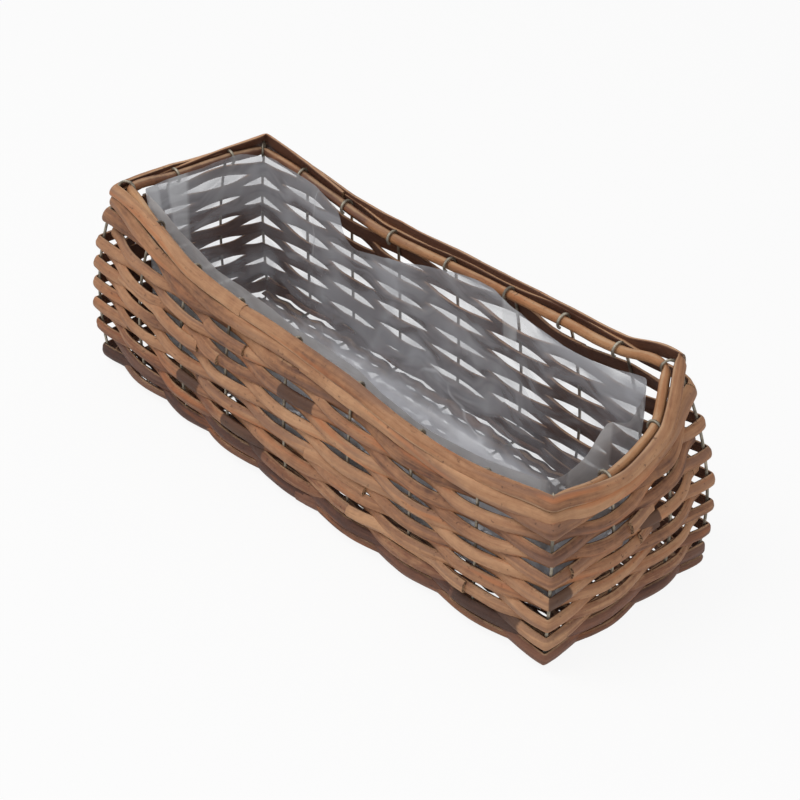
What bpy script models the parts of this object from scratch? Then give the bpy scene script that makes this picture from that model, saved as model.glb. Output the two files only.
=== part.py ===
"""Wicker planter basket: split willow woven round wire stakes, with a loose film liner.

Lengths are in metres and +Z is up. The long sides run along X and the front faces -Y.
Corners are listed front left, front right, back right, back left, and stakes are
numbered in that direction, starting from the front left corner.
"""

import math
from typing import NamedTuple

import bpy
from mathutils import Vector

# The wall's middle line, in which the stakes stand, at the foot, the belly and the rim. The
# belly and the rim's level are so many band pitches above the lowest band.
FOOT_CORNERS = ((-0.223, -0.074), (0.225, -0.068), (0.220, 0.072), (-0.222, 0.073))
BELLY_CORNERS = ((-0.230, -0.075), (0.230, -0.071), (0.228, 0.071), (-0.228, 0.075))
RIM_CORNERS = ((-0.214, -0.058), (0.216, -0.060), (0.208, 0.058), (-0.207, 0.066))
BELLY_BANDS = 1.686
RIM_BANDS = 7.966
LONG_SIDE_BOW = 0.006
END_BOW = 0.002

# Stakes: galvanised wire. Each one runs down a wall, under the base and up the other wall.
WIRE_RADIUS = 0.00105
WIRE_SIDES = 5
LONG_SIDE_STAKE_SHARES = (0.115, 0.226, 0.340, 0.477, 0.617, 0.743, 0.868)
END_STAKE_SHARES = (0.37, 0.74)
HOOK_STEPS = 5
HOOK_TAIL_ANGLE_SHARE = 0.17
BEND_STEPS = 2
CORNER_STAKE_INSET = 0.012

# Weavers: split willow, flat on the inside and round on the bark side.
WEAVER_WIDTH = 0.0079
WEAVER_DEPTH = 0.0040
SPLIT_ARC_STEPS = 4
STEPS_PER_BAY = 3
JOIN_SHARE = 0.006

# Woven bands of two rows. Each corner has its own slack, and half way along a long side less of it is left.
WALL_BANDS = 5
BAND_SLACKS = (0.0007, 0.0003, 0.0033, 0.0016)
BAND_MIDDLE_SHARE = 0.3
FOOT_SLACKS = (0.0135, 0.0080, 0.0025, 0.0095)
FOOT_MIDDLE_SHARE = 0.4

# Rim: one more woven pair, lifted at the corners, a strand that lies on it outside the stakes
# and a round rod that the stakes hook over.
RIM_LIFTS = (0.0165, 0.0, 0.0265, 0.0075)
RIM_MIDDLE_SHARE = 0.3
RIM_ROD_RADIUS = 0.0035
RIM_ROD_SIDES = 6

# Foot: a thin round rod woven in and out of the stakes.
FOOT_ROD_RADIUS = 0.0025
FOOT_ROD_SIDES = 5
ROD_STEPS_PER_BAY = 2

# Base: flat split strands, woven lengthwise over and under the stakes.
BASE_STRAND_WIDTH = 0.0105
BASE_STRAND_DEPTH = 0.0030
BASE_STRAND_LEAST_SPACE = 0.0014
BASE_CREST_HALF_LENGTH = 0.008
BASE_STRAND_OVERHANG = 0.003
BASE_CROWN_SHARE = 0.62

# Liner: a tray of film that stands on the base and lifts straight out.
LINER_FILM = 0.0006
LINER_INSET = 0.0130
LINER_TAPER = 0.0015
LINER_CORNER_RADIUS = 0.0140
LINER_CORNER_STEPS = 3
LINER_DROP = 0.0120
LINER_LEVEL_SHARES = (0.0, 0.5, 1.0)

GAP = 0.0003
HALF_TURN = math.pi
SHARP_EDGE = math.radians(50)
UP = Vector((0, 0, 1))

WEAVE_REACH = WIRE_RADIUS + GAP + WEAVER_DEPTH / 2
STACK_RISE = (WEAVER_WIDTH + GAP) / 2
BAND_PITCH = 2 * (WEAVER_WIDTH + GAP)
HOOK_RADIUS = RIM_ROD_RADIUS + WIRE_RADIUS + 3 * GAP
ROD_RISE = STACK_RISE + WEAVER_WIDTH / 2 + GAP + RIM_ROD_RADIUS
FOOT_REACH = WIRE_RADIUS + GAP + FOOT_ROD_RADIUS
BEND_RADIUS = FOOT_ROD_RADIUS + WIRE_RADIUS + 2 * GAP
CROSS_STAKE_LEVEL = BASE_STRAND_DEPTH + GAP + WIRE_RADIUS
LONG_STAKE_LEVEL = CROSS_STAKE_LEVEL - 2 * WIRE_RADIUS - GAP
FOOT_ROD_HEIGHT = CROSS_STAKE_LEVEL + BEND_RADIUS
LOWEST_BAND_HEIGHT = FOOT_ROD_HEIGHT + FOOT_ROD_RADIUS + GAP + STACK_RISE + WEAVER_WIDTH / 2
BELLY_HEIGHT = LOWEST_BAND_HEIGHT + BELLY_BANDS * BAND_PITCH
RIM_LEVEL = LOWEST_BAND_HEIGHT + RIM_BANDS * BAND_PITCH
BASE_CREST = CROSS_STAKE_LEVEL + WIRE_RADIUS + GAP
LINER_FLOOR = BASE_CREST + BASE_STRAND_DEPTH + GAP


class Finish(NamedTuple):
    """What a node's own material is made from."""

    colour: tuple
    roughness: float
    metallic: float = 0.0
    alpha: float = 1.0


TAN_BARK = Finish((0.42, 0.21, 0.10), 0.70)
BROWN_BARK = Finish((0.33, 0.16, 0.08), 0.70)
PALE_BARK = Finish((0.50, 0.28, 0.15), 0.65)
DARK_BARK = Finish((0.20, 0.09, 0.05), 0.75)
WEATHERED_WIRE = Finish((0.34, 0.31, 0.28), 0.45, metallic=0.9)
CLEAR_FILM = Finish((0.62, 0.64, 0.66), 0.15, alpha=0.35)


def list_stakes():
    """Return (side, share along that side) for every stake, in order round the wall."""
    back_shares = tuple(1 - share for share in reversed(LONG_SIDE_STAKE_SHARES))
    left_shares = tuple(1 - share for share in reversed(END_STAKE_SHARES))
    sides = (LONG_SIDE_STAKE_SHARES, END_STAKE_SHARES, back_shares, left_shares)
    return [(side, share) for side, shares in enumerate(sides) for share in (0, *shares)]


STAKES = list_stakes()
STAKE_COUNT = len(STAKES)
CORNER_STAKES = [index for index, (_, share) in enumerate(STAKES) if share == 0]
FRONT_LEFT, FRONT_RIGHT, BACK_RIGHT, BACK_LEFT = CORNER_STAKES


def hump(share):
    """A bow that is 0 at both ends of a side and 1 at its middle."""
    return 4 * share * (1 - share)


def corner_at(corner, height):
    """The plan corner at a height: a parabola through the foot, belly and rim corners."""
    above_belly = RIM_LEVEL - BELLY_HEIGHT
    foot_weight = (BELLY_HEIGHT - height) * (RIM_LEVEL - height) / (BELLY_HEIGHT * RIM_LEVEL)
    belly_weight = height * (RIM_LEVEL - height) / (BELLY_HEIGHT * above_belly)
    rim_weight = height * (height - BELLY_HEIGHT) / (RIM_LEVEL * above_belly)
    return (
        Vector(FOOT_CORNERS[corner]) * foot_weight
        + Vector(BELLY_CORNERS[corner]) * belly_weight
        + Vector(RIM_CORNERS[corner]) * rim_weight
    )


def stake_point(index, height):
    """Where a stake's axis is at a height."""
    side, share = STAKES[index % STAKE_COUNT]
    start = corner_at(side, height)
    end = corner_at((side + 1) % 4, height)
    along = (end - start).normalized()
    bow = (END_BOW if side % 2 else LONG_SIDE_BOW) * hump(share)
    plan = start.lerp(end, share) + Vector((along.y, -along.x)) * bow
    return Vector((plan.x, plan.y, height))


def outward(index, height):
    """The wall's outward direction at a stake, and the mitre that keeps an offset even there."""
    here = stake_point(index, height)
    before = (here - stake_point(index - 1, height)).normalized()
    after = (stake_point(index + 1, height) - here).normalized()
    normal = (before + after).cross(UP).normalized()
    return normal, 1 / normal.dot(after.cross(UP))


def wall_frame(turn, height):
    """Point, outward direction with its mitre, and upward direction of the wall.

    turn counts stakes round the wall and may fall between two of them.
    """
    index = math.floor(turn)
    share = turn - index
    step = WEAVER_WIDTH / 2
    heights = (height, height - step, height + step)
    here, low, high = (
        stake_point(index, level).lerp(stake_point(index + 1, level), share) for level in heights
    )
    upward = (high - low).normalized()
    if share:
        bay = stake_point(index + 1, height) - stake_point(index, height)
        return here, bay.cross(UP).normalized(), upward
    normal, mitre = outward(index, height)
    return here, normal * mitre, upward


def side_value(turn, corner_values, middle_share):
    """Blend four corner values round the wall, down to middle_share half way along a long side."""
    index = math.floor(turn)
    side, share = STAKES[index % STAKE_COUNT]
    next_side, next_share = STAKES[(index + 1) % STAKE_COUNT]
    share += (turn - index) * ((next_share if next_side == side else 1) - share)
    first = corner_values[side]
    last = corner_values[(side + 1) % 4]
    left_over = 1 if side % 2 else 1 - (1 - middle_share) * hump(share)
    return (first + (last - first) * share) * left_over


def band_height(turn, band):
    """Height of a pair's middle: bands 0 to WALL_BANDS - 1 are the wall's, the next the rim's."""
    pitch = BAND_PITCH + side_value(turn, BAND_SLACKS, BAND_MIDDLE_SHARE)
    lowest = LOWEST_BAND_HEIGHT + side_value(turn, FOOT_SLACKS, FOOT_MIDDLE_SHARE)
    lift = side_value(turn, RIM_LIFTS, RIM_MIDDLE_SHARE) if band == WALL_BANDS else 0
    return lowest + band * pitch + lift


def rod_height(turn):
    """Height of the rim rod's axis, on top of the rim's woven pair."""
    return band_height(turn, WALL_BANDS) + ROD_RISE


def split_section():
    """Half-round outline as (outward, upward) pairs: flat towards the inside, round outside."""
    angles = [HALF_TURN * (step / SPLIT_ARC_STEPS - 0.5) for step in range(SPLIT_ARC_STEPS + 1)]
    return [
        (WEAVER_DEPTH * (math.cos(angle) - 0.5), WEAVER_WIDTH / 2 * math.sin(angle))
        for angle in angles
    ]


def round_section(radius, sides):
    """Round outline as (outward, upward) pairs."""
    angles = [2 * HALF_TURN * (side + 0.5) / sides for side in range(sides)]
    return [(radius * math.cos(angle), radius * math.sin(angle)) for angle in angles]


def base_section():
    """Flat-bottomed outline of a base strand, as (sideways, upward) pairs."""
    half = BASE_STRAND_WIDTH / 2
    crown = half * BASE_CROWN_SHARE
    return [(-half, 0), (half, 0), (crown, BASE_STRAND_DEPTH), (-crown, BASE_STRAND_DEPTH)]


def make_material(name, finish):
    """A Principled material for one node."""
    material = bpy.data.materials.new(name)
    material.use_nodes = True
    shader = material.node_tree.nodes["Principled BSDF"]
    shader.inputs["Base Color"].default_value = (*finish.colour, 1.0)
    shader.inputs["Roughness"].default_value = finish.roughness
    shader.inputs["Metallic"].default_value = finish.metallic
    shader.inputs["Alpha"].default_value = finish.alpha
    return material


def add_object(name, points, faces, finish):
    """Link a smooth-shaded mesh object with its own material."""
    mesh = bpy.data.meshes.new(name)
    mesh.from_pydata(points, [], faces)
    mesh.polygons.foreach_set("use_smooth", [True] * len(mesh.polygons))
    mesh.set_sharp_from_angle(angle=SHARP_EDGE)
    mesh.materials.append(make_material(name, finish))
    bpy.context.scene.collection.objects.link(bpy.data.objects.new(name, mesh))


def area_vector(ring):
    """Twice a ring's area, along the direction from which it runs anticlockwise."""
    middle = sum(ring, Vector((0, 0, 0))) / len(ring)
    arms = [point - middle for point in ring]
    return sum((a.cross(b) for a, b in zip(arms, arms[1:] + arms[:1])), Vector((0, 0, 0)))


def loft(name, rings, finish):
    """Join equal rings of points, one after the other, into one capped solid."""
    ahead = sum((b - a for a, b in zip(rings[0], rings[1])), Vector((0, 0, 0)))
    if area_vector(rings[0]).dot(ahead) < 0:
        rings = [ring[::-1] for ring in rings]
    size = len(rings[0])
    faces = []
    for low in range(0, size * (len(rings) - 1), size):
        for corner in range(size):
            beside = (corner + 1) % size
            faces.append((low + corner, low + beside, low + size + beside, low + size + corner))
    faces.append(tuple(reversed(range(size))))
    faces.append(tuple(range(size * (len(rings) - 1), size * len(rings))))
    add_object(name, [point for ring in rings for point in ring], faces, finish)


def ring_turns(first_stake, steps):
    """Positions of a strand's rings, once round the wall with a cut join at first_stake."""
    turns = [first_stake + step / steps for step in range(STAKE_COUNT * steps + 1)]
    turns[0] += JOIN_SHARE
    turns[-1] -= JOIN_SHARE
    return turns


def add_wall_strand(name, section, turns, route, finish):
    """Sweep an outline once round the wall. route gives a turn's height, reach and rise."""
    rings = []
    for turn in turns:
        height, reach, rise = route(turn)
        point, normal, upward = wall_frame(turn, height)
        centre = point + normal * reach + upward * rise
        rings.append([centre + normal * out + upward * up for out, up in section])
    loft(name, rings, finish)


def add_woven_pair(name, band, finish):
    """Two rows of plain weave: a stake that one passes outside, the other passes inside."""
    for row, letter in enumerate("ab"):

        def route(turn, row=row):
            reach = WEAVE_REACH * math.cos(HALF_TURN * (turn + row))
            return band_height(turn, band), reach, STACK_RISE * (2 * row - 1)

        # The join is at a stake that this weaver passes on the inside.
        turns = ring_turns(2 * band + 1 - row, STEPS_PER_BAY)
        add_wall_strand(f"{name}_weaver_{letter}", split_section(), turns, route, finish)


def add_rim_top_strand():
    """The strand that lies on the rim's pair, outside all the stakes, and hides their hooks' legs."""

    def route(turn):
        return band_height(turn, WALL_BANDS), WEAVE_REACH, STACK_RISE + WEAVER_WIDTH + GAP

    turns = ring_turns(BACK_LEFT + 1, STEPS_PER_BAY)
    add_wall_strand("rim_top_strand", split_section(), turns, route, PALE_BARK)


def add_foot_rod():
    """A thin rod woven in front of one stake and behind the next."""

    def route(turn):
        return FOOT_ROD_HEIGHT, -FOOT_REACH * math.cos(HALF_TURN * turn), 0

    section = round_section(FOOT_ROD_RADIUS, FOOT_ROD_SIDES)
    add_wall_strand("foot_rod", section, ring_turns(2, ROD_STEPS_PER_BAY), route, DARK_BARK)


def add_rim_rod():
    """The round rod inside the rim, under the hooks of the stakes."""

    def route(turn):
        return rod_height(turn), -HOOK_RADIUS, 0

    section = round_section(RIM_ROD_RADIUS, RIM_ROD_SIDES)
    add_wall_strand("rim_rod", section, ring_turns(1, ROD_STEPS_PER_BAY), route, PALE_BARK)


def stake_leg(index, floor_level):
    """Axis of one wall length of a stake, from its hook's tip down to the base."""
    top = rod_height(index)
    normal, mitre = outward(index, top)
    radius = HOOK_RADIUS * mitre
    centre = stake_point(index, top) - normal * radius
    angles = [HALF_TURN * (1 + HOOK_TAIL_ANGLE_SHARE)]
    angles += [HALF_TURN * (1 - step / HOOK_STEPS) for step in range(HOOK_STEPS + 1)]
    points = [
        centre + (normal * math.cos(angle) + UP * math.sin(angle)) * radius for angle in angles
    ]
    for band in range(WALL_BANDS, -1, -1):
        point, _, upward = wall_frame(index, band_height(index, band))
        # Below the rim the stake has a long way to the wall's highest row.
        if band == WALL_BANDS - 1:
            points.append(point + upward * STACK_RISE)
        points.append(point)
        if band == WALL_BANDS:
            points.append(point - upward * STACK_RISE)
    normal, mitre = outward(index, FOOT_ROD_HEIGHT)
    radius = BEND_RADIUS * mitre
    start = stake_point(index, floor_level + radius)
    for step in range(BEND_STEPS + 1):
        angle = HALF_TURN / 2 * step / BEND_STEPS
        inward = normal * radius * (1 - math.cos(angle))
        points.append(start - inward - UP * radius * math.sin(angle))
    if index in CORNER_STAKES:
        foot = stake_point(index, floor_level)
        points.append(foot - normal * mitre * CORNER_STAKE_INSET)
    return points


def add_wire(name, points):
    """A round wire along a path that lies close to one upright plane."""
    across = (points[-1] - points[0]).cross(UP).normalized()
    section = round_section(WIRE_RADIUS, WIRE_SIDES)
    rings = []
    for index, point in enumerate(points):
        before = (point - points[max(index - 1, 0)]).normalized()
        after = (points[min(index + 1, len(points) - 1)] - point).normalized()
        ahead = (before + after).normalized()
        side = (across - ahead * across.dot(ahead)).normalized()
        over = ahead.cross(side)
        rings.append([point + side * out + over * up for out, up in section])
    loft(name, rings, WEATHERED_WIRE)


def add_stakes():
    """Wires that cross under the base from front to back, and two that run lengthwise."""
    for number in range(FRONT_RIGHT + 1):
        front = stake_leg(number, CROSS_STAKE_LEVEL)
        back = stake_leg(BACK_LEFT - number, CROSS_STAKE_LEVEL)
        add_wire(f"cross_stake_{number + 1}", front + back[::-1])
    for number in range(1, BACK_RIGHT - FRONT_RIGHT):
        right = stake_leg(FRONT_RIGHT + number, LONG_STAKE_LEVEL)
        left = stake_leg(STAKE_COUNT - number, LONG_STAKE_LEVEL)
        add_wire(f"long_stake_{number}", right + left[::-1])


def base_zones():
    """Bounds of the base's zones between its front wall, its long stakes and its back wall.

    Each zone is ((front, back) y at the left end, (front, back) y at the right end).
    """
    wall_clearance = FOOT_REACH + FOOT_ROD_RADIUS + 2 * GAP
    stake_clearance = WIRE_RADIUS + GAP
    zones = []
    last = BACK_RIGHT - FRONT_RIGHT
    for line in range(last):
        before = wall_clearance if line == 0 else stake_clearance
        after = wall_clearance if line == last - 1 else stake_clearance
        zones.append(
            [
                (
                    stake_point(first + step * line, CROSS_STAKE_LEVEL).y + before,
                    stake_point(first + step * (line + 1), CROSS_STAKE_LEVEL).y - after,
                )
                for first, step in ((FRONT_LEFT, -1), (FRONT_RIGHT, 1))
            ]
        )
    return zones


def add_base_strands():
    """Flat strands laid lengthwise, each over one cross stake and under the next."""
    number = 0
    for zone in base_zones():
        room = min(back - front for front, back in zone)
        count = int(room / (BASE_STRAND_WIDTH + BASE_STRAND_LEAST_SPACE))
        for place in range(count):
            share = (place + 0.5) / count
            y_left, y_right = (front + (back - front) * share for front, back in zone)
            number += 1
            add_base_strand(number, y_left, y_right)


def add_base_strand(number, y_left, y_right):
    """One base strand between its y at the left end and its y at the right end."""
    stakes = range(FRONT_RIGHT + 1)
    fronts = [stake_leg(index, CROSS_STAKE_LEVEL)[-1] for index in stakes]
    backs = [stake_leg(BACK_LEFT - index, CROSS_STAKE_LEVEL)[-1] for index in stakes]
    middles = [(front.x + back.x) / 2 for front, back in zip(fronts, backs)]
    rings = []
    for index, (front, back, middle) in enumerate(zip(fronts, backs, middles)):
        y = y_left + (y_right - y_left) * (middle - middles[0]) / (middles[-1] - middles[0])
        stake = front.lerp(back, (y - front.y) / (back.y - front.y))
        bottom = BASE_CREST if (index + number) % 2 else 0
        before = BASE_STRAND_OVERHANG if index == 0 else BASE_CREST_HALF_LENGTH
        after = BASE_STRAND_OVERHANG if index == FRONT_RIGHT else BASE_CREST_HALF_LENGTH
        for x in (stake.x - before, stake.x + after):
            rings.append([Vector((x, y + aside, bottom + up)) for aside, up in base_section()])
    loft(f"base_strand_{number}", rings, DARK_BARK)


def liner_outline(inset):
    """(plan point, stake number) round the liner: straight sides joined by rounded corners."""
    offsets = []
    for index in range(STAKE_COUNT):
        point, normal, _ = wall_frame(index, RIM_LEVEL)
        offsets.append(point - normal * inset)
    outline = []
    for index, here in enumerate(offsets):
        if index not in CORNER_STAKES:
            outline.append((here, index))
            continue
        radius = LINER_CORNER_RADIUS
        start = here + (offsets[index - 1] - here).normalized() * radius
        end = here + (offsets[(index + 1) % STAKE_COUNT] - here).normalized() * radius
        for step in range(LINER_CORNER_STEPS + 1):
            share = step / LINER_CORNER_STEPS
            outline.append((start.lerp(here, share).lerp(here.lerp(end, share), share), index))
    return outline


def add_liner():
    """A thin open tray that follows the rim's plan and clears the hooks on its way up."""

    def ring(share, film, floor):
        points = []
        for plan, index in liner_outline(LINER_INSET + LINER_TAPER * (1 - share) + film):
            top = rod_height(index) - LINER_DROP
            points.append(Vector((plan.x, plan.y, floor + (top - floor) * share)))
        return points

    outer = [ring(share, 0, LINER_FLOOR) for share in LINER_LEVEL_SHARES]
    inner = [ring(share, LINER_FILM, LINER_FLOOR + LINER_FILM) for share in LINER_LEVEL_SHARES]
    loft("film_liner", outer + inner[::-1], CLEAR_FILM)


def main():
    """Clear the scene and build every node."""
    for obj in list(bpy.data.objects):
        bpy.data.objects.remove(obj)
    for band in range(WALL_BANDS):
        add_woven_pair(f"band_{band + 1}", band, BROWN_BARK if band == 0 else TAN_BARK)
    add_woven_pair("rim", WALL_BANDS, PALE_BARK)
    add_rim_top_strand()
    add_rim_rod()
    add_foot_rod()
    add_stakes()
    add_base_strands()
    add_liner()


main()
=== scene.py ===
"""Looks of the long planter basket: split willow on hooked wire stakes, with a loose film liner.

Lengths are in metres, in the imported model's frame: the long sides run along X, the front faces
-Y and +Z is up. Stakes are numbered from the front left corner, anticlockwise seen from above,
and a turn is a place round the wall counted in stakes.
"""

from __future__ import annotations

import logging
import math
from collections.abc import Callable
from dataclasses import dataclass, field
from enum import Enum

import bmesh
import bpy
import numpy as np
from mathutils import Matrix, Vector, noise

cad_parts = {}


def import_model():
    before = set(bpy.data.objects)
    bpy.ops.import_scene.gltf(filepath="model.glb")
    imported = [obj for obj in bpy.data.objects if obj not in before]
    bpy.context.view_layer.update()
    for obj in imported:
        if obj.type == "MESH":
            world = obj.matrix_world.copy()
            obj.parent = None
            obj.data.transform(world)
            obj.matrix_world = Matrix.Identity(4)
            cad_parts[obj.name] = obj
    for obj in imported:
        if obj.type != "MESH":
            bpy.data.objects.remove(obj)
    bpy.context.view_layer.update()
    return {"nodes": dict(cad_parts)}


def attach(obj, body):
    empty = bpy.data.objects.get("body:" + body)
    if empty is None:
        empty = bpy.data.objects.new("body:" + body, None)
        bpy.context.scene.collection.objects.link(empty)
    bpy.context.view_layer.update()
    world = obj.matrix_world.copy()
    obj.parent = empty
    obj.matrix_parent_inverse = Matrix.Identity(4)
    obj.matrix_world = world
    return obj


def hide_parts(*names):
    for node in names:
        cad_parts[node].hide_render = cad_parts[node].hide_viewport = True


LOG = logging.getLogger("planter")
UP = Vector((0.0, 0.0, 1.0))
MM = 0.001
Colour = tuple[float, float, float]
Place = tuple[float, float, float]
# A rod's height, reach outwards, rise and roll in radians at a turn.
Course = tuple[float, float, float, float]
Route = Callable[[float], Course]


def operator(operation: str, swapped: bool = False) -> Callable[[Shade, object], Shade]:
    """Return a method that joins two values through a Math node.

    Args:
        operation: The Math node's operation.
        swapped: Whether the other value comes first, as in Python's reflected operators.

    Returns:
        The method.
    """

    def join(self: Shade, other: object) -> Shade:
        """Return the two values joined."""
        return self.maths(operation, *((other, self) if swapped else (self, other)))

    return join


class Shade:
    """One output of a node, which Python's operators join to others through Math nodes."""

    def __init__(self, bench: NodeBench, socket: bpy.types.NodeSocket) -> None:
        """Keep the bench that makes nodes and the output socket."""
        self.bench = bench
        self.socket = socket

    def maths(self, operation: str, *operands: object) -> Shade:
        """Return a Math node of an operation on the operands, in their order."""
        return self.bench.add(
            "ShaderNodeMath", {"operation": operation}, dict(enumerate(operands))
        )

    __add__ = operator("ADD")
    __radd__ = operator("ADD", swapped=True)
    __sub__ = operator("SUBTRACT")
    __rsub__ = operator("SUBTRACT", swapped=True)
    __mul__ = operator("MULTIPLY")
    __truediv__ = operator("DIVIDE")
    at_least = operator("MAXIMUM")
    at_most = operator("MINIMUM")
    above = operator("GREATER_THAN")
    below = operator("LESS_THAN")

    def __abs__(self) -> Shade:
        """Return the size of self without its sign."""
        return self.maths("ABSOLUTE", self)

    def sine(self) -> Shade:
        """Return the sine of self."""
        return self.maths("SINE", self)

    def cosine(self) -> Shade:
        """Return the cosine of self."""
        return self.maths("COSINE", self)

    def between(self, low: float, high: float) -> Shade:
        """Return a smooth step from 0 at low to 1 at high."""
        return self.bench.add(
            "ShaderNodeMapRange",
            {"interpolation_type": "SMOOTHSTEP"},
            {"Value": self, "From Min": low, "From Max": high},
        )


class NodeBench:
    """Adds nodes to one tree, for shaders and for geometry."""

    def __init__(self, tree: bpy.types.NodeTree) -> None:
        """Keep the tree."""
        self.tree = tree

    def add(
        self,
        kind: str,
        settings: dict[str, object] | None = None,
        values: dict[str | int, object] | None = None,
        output: str | int = 0,
    ) -> Shade:
        """Add one node.

        Args:
            kind: The node's type.
            settings: Its properties, set before its sockets. "stops" are a colour ramp's.
            values: For each input, a plain value or another node's output.
            output: Which output to return.

        Returns:
            The output asked for.
        """
        node = self.tree.nodes.new(kind)
        for name, setting in (settings or {}).items():
            if name == "stops":
                self._set_stops(node.color_ramp, setting)
            else:
                setattr(node, name, setting)
        for key, value in (values or {}).items():
            if isinstance(value, Shade):
                self.tree.links.new(value.socket, node.inputs[key])
            else:
                node.inputs[key].default_value = value
        return Shade(self, node.outputs[output])

    @staticmethod
    def _set_stops(ramp: bpy.types.ColorRamp, stops: list[tuple[float, Colour]]) -> None:
        """Give a colour ramp its (place, colour) stops."""
        while len(ramp.elements) < len(stops):
            ramp.elements.new(1.0)
        for element, (place, colour) in zip(ramp.elements, stops):
            element.position = place
            element.color = (*colour, 1.0)

    def attribute(self, name: str) -> Shade:
        """Return a number that the piece's mesh carries."""
        return self.add("ShaderNodeAttribute", {"attribute_name": name}, output="Fac")

    def join(self, x: object, y: object, z: object) -> Shade:
        """Return a vector of three numbers."""
        return self.add("ShaderNodeCombineXYZ", {}, {0: x, 1: y, 2: z})

    def scaled(self, vector: Shade, factor: Shade) -> Shade:
        """Return a vector times a number."""
        settings = {"operation": "SCALE"}
        return self.add("ShaderNodeVectorMath", settings, {0: vector, "Scale": factor})

    def noise(self, place: Shade, scale: float, detail: float = 2.0, rough: float = 0.5) -> Shade:
        """Return smooth noise from 0 to 1 at a place."""
        values = {"Vector": place, "Scale": scale, "Detail": detail, "Roughness": rough}
        return self.add("ShaderNodeTexNoise", {}, values)

    def blend(self, share: object, first: object, second: object, mode: str = "MIX") -> Shade:
        """Return one colour laid over another by a share."""
        values = {0: share, 6: self._opaque(first), 7: self._opaque(second)}
        return self.add(
            "ShaderNodeMix", {"data_type": "RGBA", "blend_type": mode}, values, output=2
        )

    @staticmethod
    def _opaque(colour: object) -> object:
        """Return a plain colour with its alpha, and a socket as it is."""
        return (*colour, 1.0) if isinstance(colour, tuple) else colour

    def ramp(self, share: Shade, *stops: tuple[float, Colour]) -> Shade:
        """Return the colour at a share along some stops."""
        return self.add("ShaderNodeValToRGB", {"stops": list(stops)}, {0: share})

    def bump(self, height: Shade, distance: float, strength: float = 1.0) -> Shade:
        """Return a normal that a height has raised."""
        values = {"Height": height, "Distance": distance, "Strength": strength}
        return self.add("ShaderNodeBump", {}, values)


def feed(bench: NodeBench, node: bpy.types.Node, values: dict[str, object]) -> None:
    """Set or link a node's inputs by name."""
    for name, value in values.items():
        if isinstance(value, Shade):
            bench.tree.links.new(value.socket, node.inputs[name])
        else:
            node.inputs[name].default_value = value


class MaterialBench(NodeBench):
    """The bench of one new material, with its Principled shader."""

    def __init__(self, name: str) -> None:
        """Start a material of a name."""
        self.material = bpy.data.materials.new(name)
        self.material.use_nodes = True
        super().__init__(self.material.node_tree)
        self.shader = self.tree.nodes["Principled BSDF"]

    def place(self) -> Shade:
        """Return the Object coordinates."""
        return self.add("ShaderNodeTexCoord", {}, {}, output="Object")

    def shaded(self, values: dict[str, object]) -> bpy.types.Material:
        """Return the material once the shader's inputs have these values."""
        feed(self, self.shader, values)
        return self.material

    def mixed(self, share: Shade, first: Shade, second: Shade) -> bpy.types.Material:
        """Return the material once one shader is laid over another by a share."""
        mixed = self.add("ShaderNodeMixShader", {}, {0: share, 1: first, 2: second})
        self.tree.links.new(mixed.socket, self.tree.nodes["Material Output"].inputs["Surface"])
        return self.material

    def principled(self) -> Shade:
        """Return the Principled shader's output."""
        return Shade(self, self.shader.outputs[0])


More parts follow.
